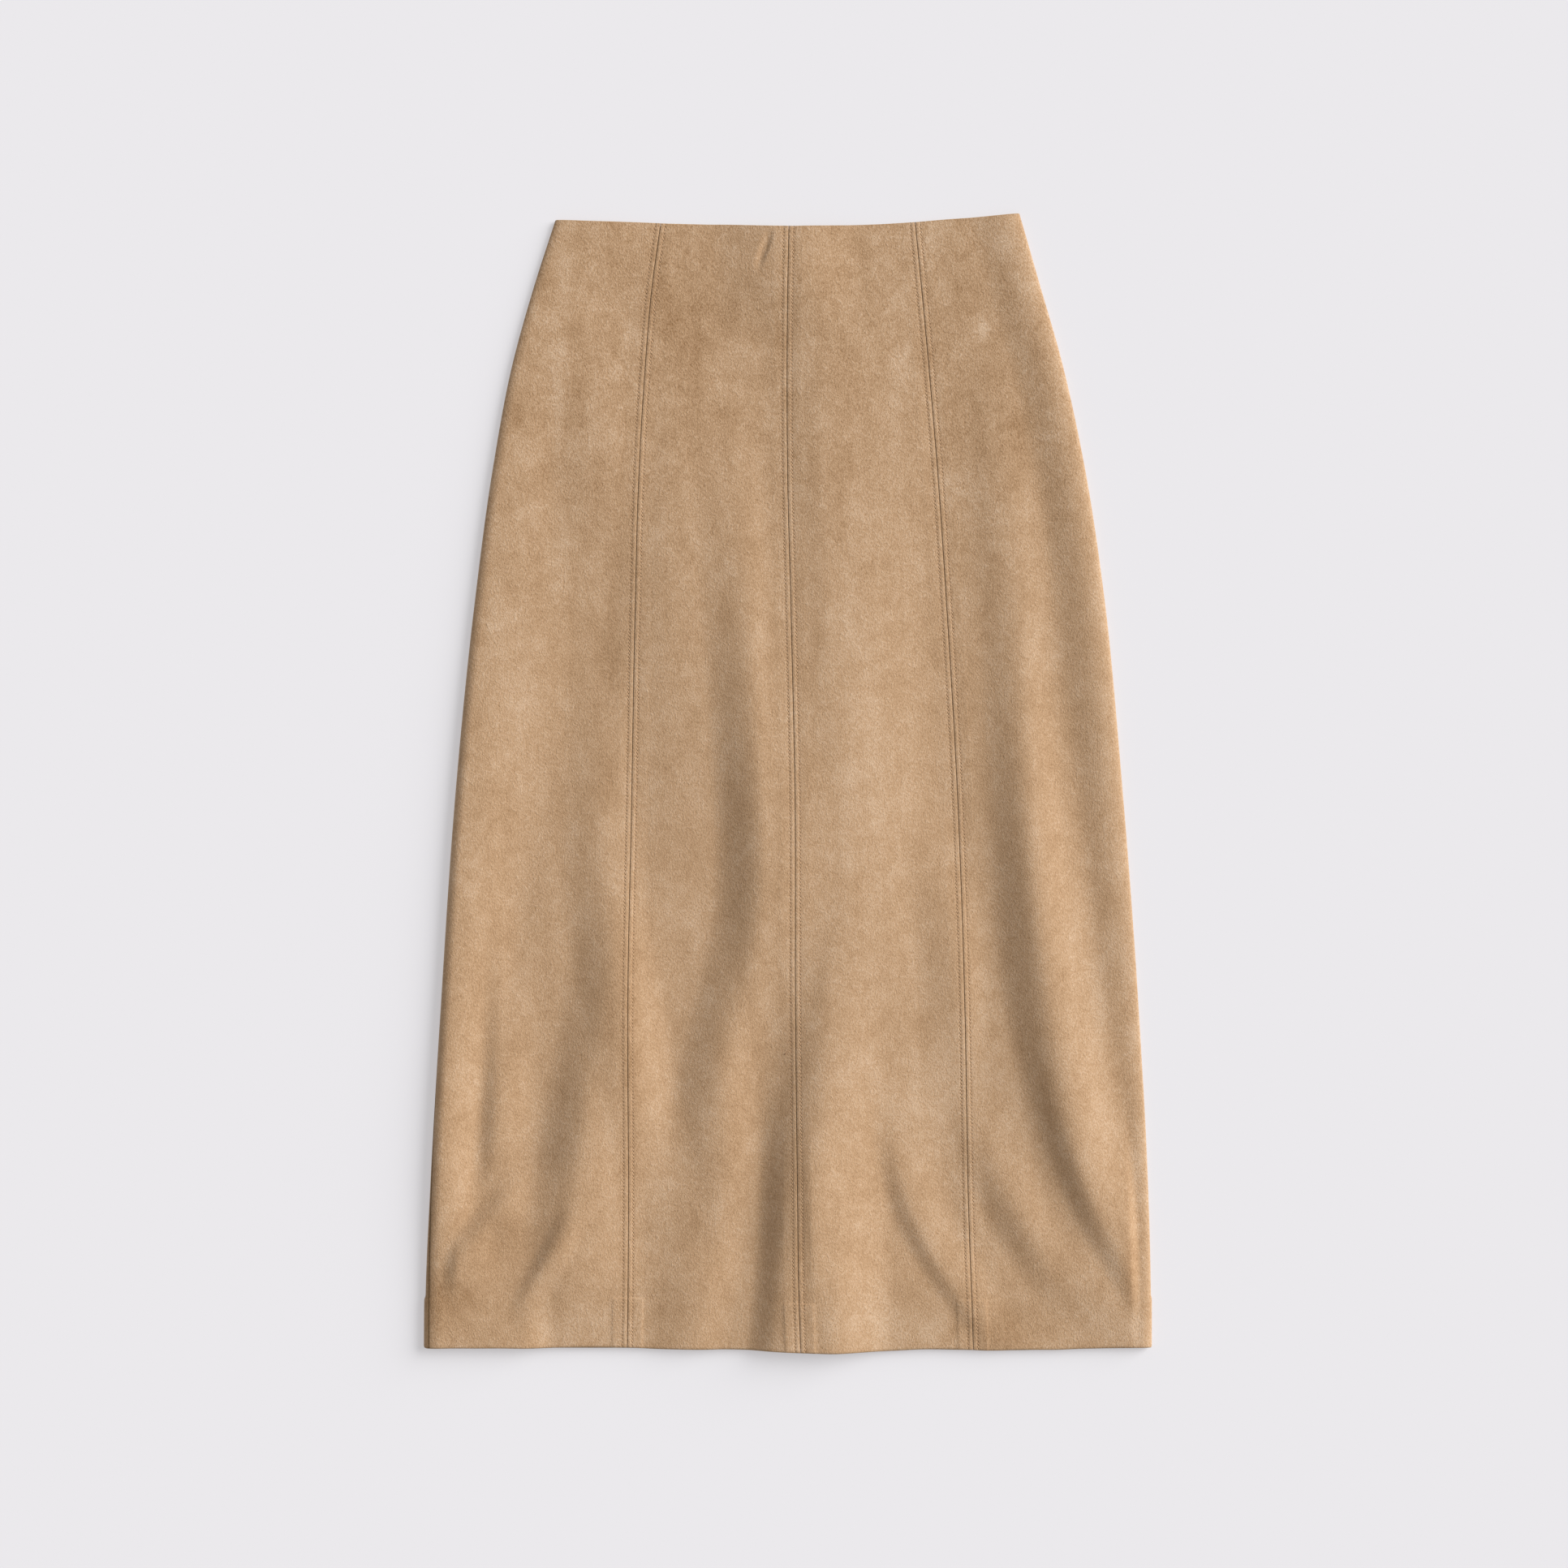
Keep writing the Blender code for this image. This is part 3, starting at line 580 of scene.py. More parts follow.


# Soft patches where the nap lies lighter or darker, partly the nap's own tone and partly
# painted light and shade, from the waist to the hem: middle, half widths, and strength
Patch = namedtuple("Patch", "x y half_x half_y strength")
NAP_AND_PAINTED_LIGHT_PATCHES = {
    "waist_left": (164, 412, 14, 22, 0.24),
    "waist_at_left_seam": (108, 410, 12, 16, 0.15),
    "waist_front": (-62, 408, 10, 16, -0.14),
    "waist_right": (-102, 398, 18, 36, -0.15),
    "right_waist_edge": (-184, 380, 16, 22, -0.1),
    "top_centre": (-50, 370, 55, 65, -0.1),
    "left_hip_scuff": (149, 347, 8, 14, 0.2),
    "beside_princess": (-132, 340, 16, 30, -0.1),
    "top_right": (-82, 335, 36, 90, -0.13),
    "right_hip": (-165, 292, 20, 52, -0.12),
    "right_hip_edge": (-208, 285, 10, 34, -0.2),
    "left_hip": (152, 270, 38, 85, -0.14),
    "front_hip": (-55, 265, 64, 56, -0.11),
    "left_side": (178, 262, 15, 54, -0.14),
    "below_hip": (-146, 236, 12, 36, -0.12),
    "left_of_centre": (16, 235, 14, 70, -0.08),
    "right_princess": (-125, 160, 22, 70, -0.08),
    "shoulder_top": (-44, 132, 16, 32, -0.11),
    "left_below_hip": (188, 125, 14, 50, 0.1),
    "by_right_hip": (-134, 100, 20, 48, -0.13),
    "right_below_hip": (-215, 90, 30, 130, 0.07),
    "centre_left": (68, 60, 50, 270, 0.07),
    "right_middle": (-136, 2, 17, 56, -0.16),
    "right_low_seam": (-138, -180, 17, 70, -0.13),
    "left_low": (238, -190, 34, 190, 0.05),
    "shoulder_low": (-24, -215, 14, 80, -0.09),
    "right_seam": (-120, -225, 14, 170, -0.2),
    "left_thigh": (125, -235, 60, 100, 0.09),
    "left_rim": (268, -295, 9, 64, 0.18),
    # painted shade along the rim that turns away from the key light
    "right_edge": (-275, -300, 6, 160, -0.22),
    "right_corner": (-215, -340, 55, 46, -0.14),
    "centre_low": (9, -345, 11, 80, -0.13),
    "right_low": (-175, -350, 20, 40, -0.05),
    "left_low_rim": (262, -376, 9, 44, -0.2),
    "in_left_rim": (247, -376, 10, 40, 0.12),
    "right_hem": (-250, -392, 42, 44, -0.18),
    # painted shade along the shaded rim near the hem
    "right_rim": (-268, -400, 22, 44, -0.15),
    "left_corner": (240, -412, 36, 26, 0.1),
    "hem_left": (75, -414, 78, 30, 0.1),
    "left_hem_seam": (127, -414, 8, 22, -0.18),
    "hem_right": (-155, -416, 60, 28, 0.08),
    "left_hem_rim": (267, -416, 12, 22, 0.12),
    "left_hem": (170, -416, 50, 28, -0.13),
}

# Layers of the nap's unevenness, each a noise: the size that it goes by and how many
# times that, its stretch down the cloth, its detail, roughness and distortion, and how
# much it lightens the nap and raises it
Pattern = namedtuple("Pattern", "size times stretch detail roughness distortion light relief")
NAP_PATTERNS = {
    "clouds": ("cloud_size", 1, 0.7, 3, 0.55, 0.4, 0.34, 0),
    "blotches": ("cloud_size", 0.38, 0.8, 3, 0.72, 0.6, 0.46, 0.5),
    "strokes": ("cloud_size", 0.5, 0.09, 2, 0.5, 0.2, 0.18, 0),
    "grain": ("grain_size", 1, 0.75, 2, 0.7, 0.3, 0.7, 2),
    "fibre": ("grain_size", 0.5, 0.55, 1, 0.6, 0, 0.4, 1.2),
}


def nap_light(x, y):
    """How light the nap lies, with painted light and shade: a sum of soft oval patches."""
    total = np.zeros_like(x)
    for patch in starmap(Patch, NAP_AND_PAINTED_LIGHT_PATCHES.values()):
        across = (x - patch.x) / patch.half_x
        along = (y - patch.y) / patch.half_y
        total += patch.strength * bell(np.hypot(across, along))
    return total


MOTTLE = 1.25  # how strongly the nap's unevenness shows at the waist
MOTTLE_FALL = 0.3  # and by how much less from above mid length down


def mottle(v):
    """How strongly the nap's unevenness shows: most at the waist and hip, which hands
    brush."""
    return MOTTLE - MOTTLE_FALL * smooth((v - 0.1) / 0.35)


NEEDLE_PAINTED_SHADE = 0.5  # how much shade is painted into a needle's dent
NEEDLE_DEEP = 1.5  # and how deep, in the bump's own measure
NAP_DEEP = 0.35  # depth of that measure in millimetres


def faux_suede(scene):
    """Camel faux suede: knitted microfibre whose face is sanded to a short, soft nap.
    It is matt, with a faint sheen on the fibre tips; the nap lies in cloudy patches and
    in long strokes down the cloth, and up close it is a fine grain.  Shade is painted
    into the seams and into a small dent wherever the needle went through."""
    suede = scene.skirt_suede
    material, tree, shader = new_material(
        "faux_suede_microfibre", Roughness=0.9, Diffuse_Roughness=0.1,
        Specular_IOR_Level=0.15, Sheen_Weight=suede.sheen, Sheen_Roughness=0.5,
        Sheen_Tint=(*suede.tips, 1))
    place = add_node(tree, "TexCoord").outputs["Object"]
    nap, mottled, seam_shadow, off_line, along_seam = (
        add_node(tree, "Attribute", attribute_name=name).outputs["Fac"]
        for name in ("nap", "mottle", "seam_shadow", "off_stitch_line", "along_seam"))

    pattern = relief = middle = 0
    for layer in starmap(Pattern, NAP_PATTERNS.values()):
        size = getattr(suede, layer.size) * layer.times
        spot = add_node(tree, "Mapping", {"Vector": place, "Scale": (1, layer.stretch, 1)})
        noise = add_node(tree, "TexNoise", {
            "Vector": spot, "Scale": 1 / size, "Detail": layer.detail,
            "Roughness": layer.roughness, "Distortion": layer.distortion})
        pattern = add_node(
            tree, "Math", {0: noise, 1: layer.light, 2: pattern}, operation="MULTIPLY_ADD")
        middle += layer.light / 2
        if layer.relief:
            relief = add_node(
                tree, "Math", {0: noise, 1: layer.relief, 2: relief}, operation="MULTIPLY_ADD")

    uneven = add_node(tree, "Math", {0: pattern, 1: middle}, operation="SUBTRACT")
    # The nap's tone, with the patches' painted light and shade
    light = add_node(tree, "Math", {0: uneven, 1: mottled, 2: nap}, operation="MULTIPLY_ADD")
    level = add_node(tree, "MapRange", {"Value": light, "From Min": -0.5, "From Max": 0.5})
    ramp = add_node(tree, "ValToRGB", {"Fac": level})
    ramp.color_ramp.elements[0].color = (*suede.dark, 1)
    ramp.color_ramp.elements[1].color = (*suede.light, 1)
    ramp.color_ramp.elements.new(0.5).color = (*suede.colour, 1)

    per_mm = 2 * math.pi * MM / scene.skirt_stitches.pitch
    turns = add_node(tree, "Math", {0: along_seam, 1: per_mm}, operation="MULTIPLY")
    wave = add_node(tree, "Math", {0: turns}, operation="COSINE")
    along = add_node(tree, "MapRange", {"Value": wave, "From Min": -0.1, "From Max": 0.8})
    across = add_node(tree, "MapRange", {
        "Value": off_line, "From Min": 0.15, "From Max": 0.6, "To Min": 1, "To Max": 0})
    dent = add_node(tree, "Math", {0: along, 1: across}, operation="MULTIPLY")
    # Painted shade: the needle dents and the seams darkened towards the seam shadow colour
    shadow = add_node(
        tree, "Math", {0: dent, 1: NEEDLE_PAINTED_SHADE, 2: seam_shadow}, operation="MULTIPLY_ADD")
    shade = add_node(tree, "Mix", {
        "Factor": shadow, "A": ramp, "B": (*suede.seam, 1)}, data_type="RGBA")
    tree.links.new(shade.outputs["Result"], shader.inputs["Base Color"])

    relief = add_node(
        tree, "Math", {0: dent, 1: -NEEDLE_DEEP, 2: relief}, operation="MULTIPLY_ADD")
    bump = add_node(tree, "Bump", {
        "Height": relief, "Strength": suede.bump, "Distance": NAP_DEEP * MM})
    tree.links.new(bump.outputs["Normal"], shader.inputs["Normal"])
    return material


def polyester_thread(scene):
    """Topstitching thread: twisted polyester dyed to match, a little paler than the
    nap, with the soft gleam of its filaments."""
    colour = (*scene.skirt_stitches.colour, 1)
    return new_material(
        "twisted_polyester_thread", Base_Color=colour, Roughness=0.6,
        Specular_IOR_Level=0.35, Sheen_Weight=0.2, Sheen_Tint=colour)[0]


RIB_DEEP = 0.15  # depth of the tape's ribs in millimetres


def woven_tape(scene):
    """Zip tape: close-woven polyester dyed to match, matt, with the fine rib of its
    weave across it."""
    zip_ = scene.skirt_zip
    material, tree, shader = new_material(
        "woven_polyester_tape", Base_Color=(*zip_.tape_colour, 1), Roughness=0.85,
        Specular_IOR_Level=0.25)
    place = add_node(tree, "TexCoord").outputs["Object"]
    ribs = add_node(
        tree, "TexWave", {"Vector": place, "Scale": 0.5 / zip_.rib}, bands_direction="Y")
    bump = add_node(tree, "Bump", {
        "Height": ribs.outputs["Fac"], "Strength": 0.5, "Distance": RIB_DEEP * MM})
    tree.links.new(bump.outputs["Normal"], shader.inputs["Normal"])
    return material


def nylon_coil(scene):
    """Zip coil: smooth drawn nylon dyed to match, with a soft gloss."""
    return new_material(
        "dyed_nylon_coil", Base_Color=(*scene.skirt_zip.tape_colour, 1),
        Roughness=0.35, IOR=1.53)[0]


def enamelled_zinc(scene):
    """Zip slider and tab: die-cast zinc under a satin camel enamel, smooth, with small
    soft highlights."""
    return new_material(
        "enamelled_zinc", Base_Color=(*scene.skirt_zip.enamel_colour, 1),
        Roughness=0.3, IOR=1.5, Coat_Weight=0.3, Coat_Roughness=0.15)[0]


def shared_material(make, scene):
    """The material that a function makes, made the first time it is asked for."""
    made = scene.get("made_materials", {})
    if make.__name__ not in made:
        made = {**made, make.__name__: make(scene).name}
        scene["made_materials"] = made
    return bpy.data.materials[made[make.__name__]]


def add_object(name, data, scene):
    """An object in the scene for a mesh, light or camera."""
    obj = bpy.data.objects.new(name, data)
    scene.collection.objects.link(obj)
    return obj


def finish_piece(mesh, make, scene, nodes=()):
    """An object at the origin for a mesh and named after it, with its material, its
    body and the plain nodes that it stands for."""
    obj = add_object(mesh.name, mesh, scene)
    mesh.materials.append(shared_material(make, scene))
    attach(obj, BODY)
    if nodes:
        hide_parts(*nodes)
    return obj


# ---- the panels

# Each panel's seams in order round the ring, their kinds, how many even columns lie
# between them, and its cut: width, length and area in metres
Panel = namedtuple("Panel", "seams kinds count cut")
PANELS = {
    "front_right_side": Panel(
        ("side_right", "princess_right"), (ROLLED, TOPSTITCHED), 34, (0.152, 0.865, 0.1144)),
    "front_right_centre": Panel(
        ("princess_right", "centre"), (TOPSTITCHED, TOPSTITCHED), 64, (0.134, 0.860, 0.1052)),
    "front_left_centre": Panel(
        ("centre", "princess_left"), (TOPSTITCHED, TOPSTITCHED), 40, (0.133, 0.861, 0.1053)),
    "front_left_side": Panel(
        ("princess_left", "side_left"), (TOPSTITCHED, ROLLED), 34, (0.150, 0.870, 0.1193)),
    "back_left": Panel(
        ("side_left", "centre_back"), (PLAIN, PLAIN), 34, (0.266, 0.860, 0.2032)),
    "back_right": Panel(
        ("centre_back", "side_right_again"), (PLAIN, ROLLED), 34, (0.285, 0.858, 0.2129)),
}

# The centre-back seam opens round the slider's neck
NECK_DOWN = 12  # distance down from the waist
NECK_HALF = 3.3  # half the opening's length, and the ease at its ends
NECK_EASE = 0.8
NECK_OPEN = 0.7  # half its width


def half_gap(seam, v, cloth):
    """Half of a seam's gap: even, and wider where the zip's slider passes through."""
    narrow = cloth.seam_gap / MM / 2
    if seam != "centre_back":
        return narrow
    off = smooth((np.abs(v * LENGTH - NECK_DOWN) - NECK_HALF) / NECK_EASE)
    return NECK_OPEN + (narrow - NECK_OPEN) * off


def ends_of(name, ring, cloth):
    """Where a panel starts and ends along the ring, clear of its seams' gaps."""
    first, last = PANELS[name].seams
    start = ring.seam(first) + half_gap(first, ring.v, cloth)
    return start, ring.seam(last) - half_gap(last, ring.v, cloth)


def outer_face(name, ring, lengths, cloth):
    """Outer points, normals, and the ring's own points of a panel at these lengths.

    The outer face is the ring's surface moved along its normal by the seams' relief,
    the pucker and unevenness, and the hem's step.  Underneath nothing stands out."""
    at_start, at_end = PANELS[name].kinds
    start, end = ends_of(name, ring, cloth)
    base = ring.points(lengths)
    normal = grid_normals(base)
    v = np.broadcast_to(ring.v, lengths.shape)
    x, y = base[:, :, 0], base[:, :, 1]
    up = np.clip(normal[:, :, 2] * UP_GAIN, 0, 1)
    sideways = 1 - np.abs(normal[:, :, 2])
    relief = seam_relief(at_start, lengths - start, v, cloth)
    relief = relief + seam_relief(at_end, end - lengths, v, cloth)
    relief = np.where(relief > 0, relief * up, relief)
    loose = smooth(np.minimum(lengths - start, end - lengths) / SEAM_ALLOWANCE)
    relief = relief + unevenness(x, y) * cloth.uneven * loose * up
    relief = relief + crease_height(PUCKER, x, y) * up
    relief = relief + hem_band(v, HEM_STEP_SOFT) * HEM_STEP_TOP * up
    relief = relief + hem_band(v, HEM_STEP_SOFT / 2) * HEM_STEP_SIDE * sideways
    waver = 0
    for seed, from_edge in ((11, v), (12, 1 - v)):
        uneven = lattice(x, 0 * y, EDGE_WAVER_LONG, 1, 0, seed)
        waver = waver + uneven * (1 - smooth(from_edge / EDGE_WAVER_DEEP))
    outer = base + normal * relief[:, :, None]
    outer[:, :, 1] += EDGE_WAVER * waver * up
    return outer, normal, base


def make_panel(name, ring, scene):
    """One cloth panel as a closed thin shell, in place of its plain solid.

    Its outer face is outer_face; its inner one is the ring's surface moved in by the
    wall, which is double in the hem.  Both close to the middle of the wall at the
    waist and hem edges."""
    cloth = scene.skirt_cloth
    panel = PANELS[name]
    start, end = ends_of(name, ring, cloth)
    lengths = column_lengths(start, end, panel.kinds, panel.count)
    outer, normal, base = outer_face(name, ring, lengths, cloth)
    v = np.broadcast_to(ring.v, lengths.shape)
    wall = cloth.wall / MM * (1 + hem_band(v))
    from_edge = np.minimum(v, 1 - v) * LENGTH
    closing = edge_round(from_edge, 0.9 * wall) * wall / 2
    inner = base - normal * (wall - closing)[:, :, None]
    outer = outer - normal * closing[:, :, None]

    line = cloth.stitch_inset / MM
    off_line = np.full(lengths.shape, line)
    # Painted shade: darker at the waist and hem edges and beside each seam, where the cloth
    # turns
    shadow = EDGE_PAINTED_SHADE * np.exp(-(from_edge / EDGE_PAINTED_SHADE_WIDE) ** 2)
    for distance, kind in zip((lengths - start, end - lengths), panel.kinds):
        shadow = shadow + kind.dark * np.exp(-(distance / kind.wide) ** 2)
        if kind is TOPSTITCHED:
            off_line = np.minimum(off_line, np.abs(distance - line))
    mesh = shell_mesh("cloth_" + name, outer, inner)
    of_outside_and_inside = {
        "nap": (nap_light(outer[:, :, 0], outer[:, :, 1]), 0),
        "mottle": (mottle(v), 1),
        "seam_shadow": (shadow, 0),
        "off_stitch_line": (off_line, line),
        "along_seam": (v * LENGTH, 0),
    }
    for key, (outside, inside) in of_outside_and_inside.items():
        layer = mesh.attributes.new(key, "FLOAT", "POINT")
        values = np.concatenate([outside.ravel(), np.full(outside.size, inside)])
        layer.data.foreach_set("value", values.astype(np.float32))
    obj = finish_piece(mesh, faux_suede, scene, [name])


# ---- the topstitching

# A stitch is a rounded bar of thread: places of its four rings along it, in parts of
# its length, and their height over the cloth and radius, in parts of the thread's
STITCH_RINGS = (-0.5, -0.3, 0.3, 0.5)
STITCH_HEIGHTS = (-0.75, 0.35, 0.35, -0.75)
STITCH_RADII = (0.6, 1, 1, 0.6)
STITCH_START = 2  # clear of the waist edge
STITCH_END = 1.5  # clear of the hem edge
BESIDE_LINE = 0.3  # the cloth's normal is taken from this far on each side


def on_cloth(name, side, ring, cloth, aside=0):
    """Points and normals on a panel's outer face, one for each section: on the stitch
    line beside one of its seams, or this far further in."""
    start, end = ends_of(name, ring, cloth)
    inset = cloth.stitch_inset / MM + aside
    line = end - inset if side else start + inset
    beside = line + BESIDE_LINE * np.array([-1, 0, 1])
    outer, normal, _base = outer_face(name, ring, beside, cloth)
    return outer[:, 1], normal[:, 1]


def stitch_sections(stitch):
    """Places v of every stitch's four rings, from the waist to the hem: each stitch is
    half a pitch from the needle's dents on either side."""
    pitch = stitch.pitch / MM
    first = math.ceil(STITCH_START / pitch) + 0.5
    middles = np.arange(first, (LENGTH - STITCH_END) / pitch - 0.4) * pitch
    rings = np.array(STITCH_RINGS) * stitch.length / MM
    return (middles[:, None] + rings).ravel() / LENGTH


def make_stitches(name, ring, scene):
    """All the topstitching on one panel, as one joined mesh of small bars.

    The ring has four sections for each stitch.  At each a hexagon stands square to the
    row, sunk at both ends, and a stitch is the tube through its four hexagons."""
    radius = scene.skirt_stitches.radius / MM
    points = np.zeros((0, 4, 6, 3))
    for side, kind in enumerate(PANELS[name].kinds):
        if kind is TOPSTITCHED:
            row = on_cloth(name, side, ring, scene.skirt_cloth)
            centre, up = (part.reshape(-1, 4, 3) for part in row)
            run = np.broadcast_to(centre[:, -1:] - centre[:, :1], up.shape)
            centre = centre + up * (radius * np.array(STITCH_HEIGHTS))[:, None]
            bars = hexagons(centre, unit(np.cross(run, up)), up, radius * np.array(STITCH_RADII))
            points = np.concatenate([points, bars])
    faces = tube_faces(4) + 24 * np.arange(len(points))[:, None, None]
    mesh = quad_mesh("stitches_" + name, points.reshape(-1, 3), faces.reshape(-1, 4))
    finish_piece(mesh, polyester_thread, scene)


# A thread end left beside the centre seam: how far down from the waist it leaves the
# stitch row, how far it reaches across and down, and how high it arches
LOOSE_DOWN = 628.5
LOOSE_ACROSS = 4.2
LOOSE_ALONG = 2.8
LOOSE_ARCH = 0.45
LOOSE_START = 0.05  # part of its turn that stays hidden in the stitch
LOOSE_STEPS = 14


def make_loose_end(scene):
    """A short thread end on the cloth: it leaves the stitch row and curls down through
    a quarter turn, arched clear of the nap between its ends."""
    radius = scene.skirt_stitches.radius / MM
    turn = np.linspace(LOOSE_START, 0.5 * math.pi, LOOSE_STEPS)
    ring = Ring((LOOSE_DOWN + LOOSE_ALONG * (1 - np.cos(turn))) / LENGTH)
    turn = turn[:, None]
    aside = LOOSE_ACROSS * np.sin(turn)
    place, up = on_cloth("front_right_centre", 1, ring, scene.skirt_cloth, aside)
    path = place + up * (radius + LOOSE_ARCH * np.sin(2 * turn))
    mesh = wire_mesh("loose_thread_end", path, radius)
    finish_piece(mesh, polyester_thread, scene)


# ---- the zip

TAPE_START = 4  # distances down from the waist
TAPE_END = 180
COIL_START = 18.5
COIL_END = 178
TAPE_HALF = 12  # a tape's width from the seam, and its thickness
TAPE_THICK = 0.35
TAPE_CLEAR = 0.15  # between the tape and the back's inner face
SLIDER_HALF = 2.6  # half width left for the slider's body
SLIDER_END = 17
TAPES_MEET = 0.1  # half the gap between the closed tapes
COIL_TURN = 1.2  # length, half width and half height of a turn of the coil
COIL_HALF_WIDE = 1.25
COIL_HALF_HIGH = 0.28
COIL_WIRE = 0.13  # radius of its wire
COIL_STEPS = 12  # points in each turn of the coil
TAPE_ROWS = 90
TAPE_COLUMNS = 14
TAPE_EASE = 3  # length over which a tape sets back round the slider


def back_inside(x, down, cloth):
    """Points on the back's inner face beside the centre-back seam, at x and at this
    distance down from the waist."""
    ring = Ring(down / LENGTH)
    points = ring.points(ring.back_at(x))
    points[:, :, 2] += cloth.wall / MM
    return points


def make_tape(name, side, scene):
    """One tape of the zip as a closed strip: flat on the back's inner face, its inner
    edge by the seam, and set back round the slider's body."""
    down = np.linspace(TAPE_START, TAPE_END, TAPE_ROWS)
    beside = smooth((SLIDER_END + TAPE_EASE - down) / TAPE_EASE)[:, None]
    edge = TAPES_MEET + (SLIDER_HALF - TAPES_MEET) * beside
    x = side * (edge + (TAPE_HALF - edge) * np.linspace(0, 1, TAPE_COLUMNS))
    under = back_inside(x, down, scene.skirt_cloth)[:, ::side]
    under[:, :, 2] += TAPE_CLEAR
    mesh = shell_mesh(name, under + np.array([0, 0, TAPE_THICK]), under)
    obj = finish_piece(mesh, woven_tape, scene, ["zip_tape"])


def make_coil(scene):
    """The closed coil: a flattened helix of nylon wire along the tapes' inner edges."""
    turns = round((COIL_END - COIL_START) / COIL_TURN)
    t = np.linspace(0, turns, turns * COIL_STEPS + 1)
    down = COIL_START + t * COIL_TURN
    path = back_inside(np.zeros((len(t), 1)), down, scene.skirt_cloth)[:, 0]
    path[:, 0] += COIL_HALF_WIDE * np.cos(2 * math.pi * t)
    height = TAPE_CLEAR + TAPE_THICK + COIL_WIRE + COIL_HALF_HIGH
    path[:, 2] += height + COIL_HALF_HIGH * np.sin(2 * math.pi * t)
    mesh = wire_mesh("zip_coil", path, COIL_WIRE)
    finish_piece(mesh, nylon_coil, scene)


# ---- settings and operators


def setting(name, default, description, **kind):
    """A number that a user can change, with its unit or subtype."""
    return FloatProperty(name=name, default=default, description=description, **kind)


def colour_setting(name, hex_colour, description):
    """A colour that a user can change, from its sRGB hex value."""
    return FloatVectorProperty(
        name=name, description=description, default=linear(hex_colour), subtype="COLOR")


class SkirtCloth(bpy.types.PropertyGroup):
    wall: setting("Cloth thickness", 0.001, "One layer of the faux suede", unit="LENGTH")
    seam_gap: setting("Seam gap", 0.00012, "Between two panels at a seam", unit="LENGTH")
    groove_depth: setting(
        "Seam groove depth", 0.0006, "How far cloth turns in at a seam", unit="LENGTH")
    groove_width: setting(
        "Seam groove half width", 0.00065, "Roundness of the turned edge", unit="LENGTH")
    stitch_inset: setting(
        "Topstitch inset", 0.0037, "From the seam to each row of topstitching",
        unit="LENGTH")
    uneven: setting("Unevenness", 1, "How uneven the cloth lies between its folds")


class SkirtSuede(bpy.types.PropertyGroup):
    colour: colour_setting("Suede colour", "BB9875", "Camel nap in even light")
    # Raised and flattened nap are the light and dark ends of the nap's tone, along which the
    # patches also paint light and shade
    light: colour_setting("Raised nap", "DDC2A6", "Nap brushed towards the light")
    tips: colour_setting("Fibre tips", "F4E6D2", "Tint of the sheen on the fibres' tips")
    dark: colour_setting("Flattened nap", "8C6640", "Nap brushed away from the light")
    # Seam shadow is the colour of the painted shade in the seams and the needle dents
    seam: colour_setting("Seam shadow", "80623F", "Nap turned down into a seam")
    cloud_size: setting(
        "Cloud size", 0.028, "Across the cloudy patches of the nap", unit="LENGTH")
    grain_size: setting("Grain size", 0.0014, "Across a tuft of nap fibres", unit="LENGTH")
    bump: setting("Grain depth", 0.6, "Strength of the nap's relief")
    sheen: setting("Sheen", 0.6, "Light caught by the fibre tips")


class SkirtStitches(bpy.types.PropertyGroup):
    pitch: setting("Stitch pitch", 0.0027, "From one stitch to the next", unit="LENGTH")
    length: setting(
        "Stitch length", 0.0021, "Thread that shows of each stitch", unit="LENGTH")
    radius: setting("Thread radius", 0.00024, "Half the thread's width", unit="LENGTH")
    colour: colour_setting("Thread colour", "C09C78", "Polyester thread dyed to match")


class SkirtZip(bpy.types.PropertyGroup):
    rib: setting(
        "Tape rib", 0.0008, "From one rib of the tape's weave to the next", unit="LENGTH")
    tape_colour: colour_setting(
        "Tape colour", "A98A68", "Polyester tape and coil dyed to match")
    enamel_colour: colour_setting(
        "Enamel colour", "AC8E6D", "Enamel of the slider and its tab")


class SkirtStage(bpy.types.PropertyGroup):
    floor_colour: colour_setting("Floor colour", "EBE9EC", "Matt pale studio board")
    floor_glow: setting(
        "Floor glow", 0.5, "Part of the board's light that comes through it")
    frame_width: setting(
        "Frame width", 1.198, "Width seen by the camera at the skirt", unit="LENGTH")
    lens: setting("Lens", 100, "Focal length in millimetres")
    key_azimuth: setting(
        "Key azimuth", math.radians(27), "Direction of the key light, from +X towards +Y",
        subtype="ANGLE")
    key_elevation: setting(
        "Key elevation", math.radians(26), "Height of the key light over the floor",
        subtype="ANGLE")
    key_spread: setting(
        "Key spread", math.radians(45), "Angle that the key light's softbox fills",
        subtype="ANGLE")
    key_share: setting("Key share", 0.67, "Part of the floor's light that the key gives")


def panels(side):
    """Names of the front or the back panels."""
    return [name for name in PANELS if name.startswith(side)]


class SKIRT_OT_topstitching(bpy.types.Operator):
    """Sew the two rows of topstitching beside each front seam"""
    bl_idname = "skirt.topstitching"
    bl_label = "Topstitching"

    def execute(self, context):
        ring = Ring(stitch_sections(context.scene.skirt_stitches))
        for name in panels("front"):
            make_stitches(name, ring, context.scene)
        make_loose_end(context.scene)
        return {"FINISHED"}


class SKIRT_OT_front(bpy.types.Operator):
    """Build the four front gores"""
    bl_idname = "skirt.front"
    bl_label = "Front gores"

    def execute(self, context):
        ring = Ring(section_rows())
        for name in panels("front"):
            make_panel(name, ring, context.scene)
        return {"FINISHED"}


class SKIRT_OT_back(bpy.types.Operator):
    """Build the two back panels"""
    bl_idname = "skirt.back"
    bl_label = "Back panels"

    def execute(self, context):
        ring = Ring(section_rows())
        for name in panels("back"):
            make_panel(name, ring, context.scene)
        return {"FINISHED"}


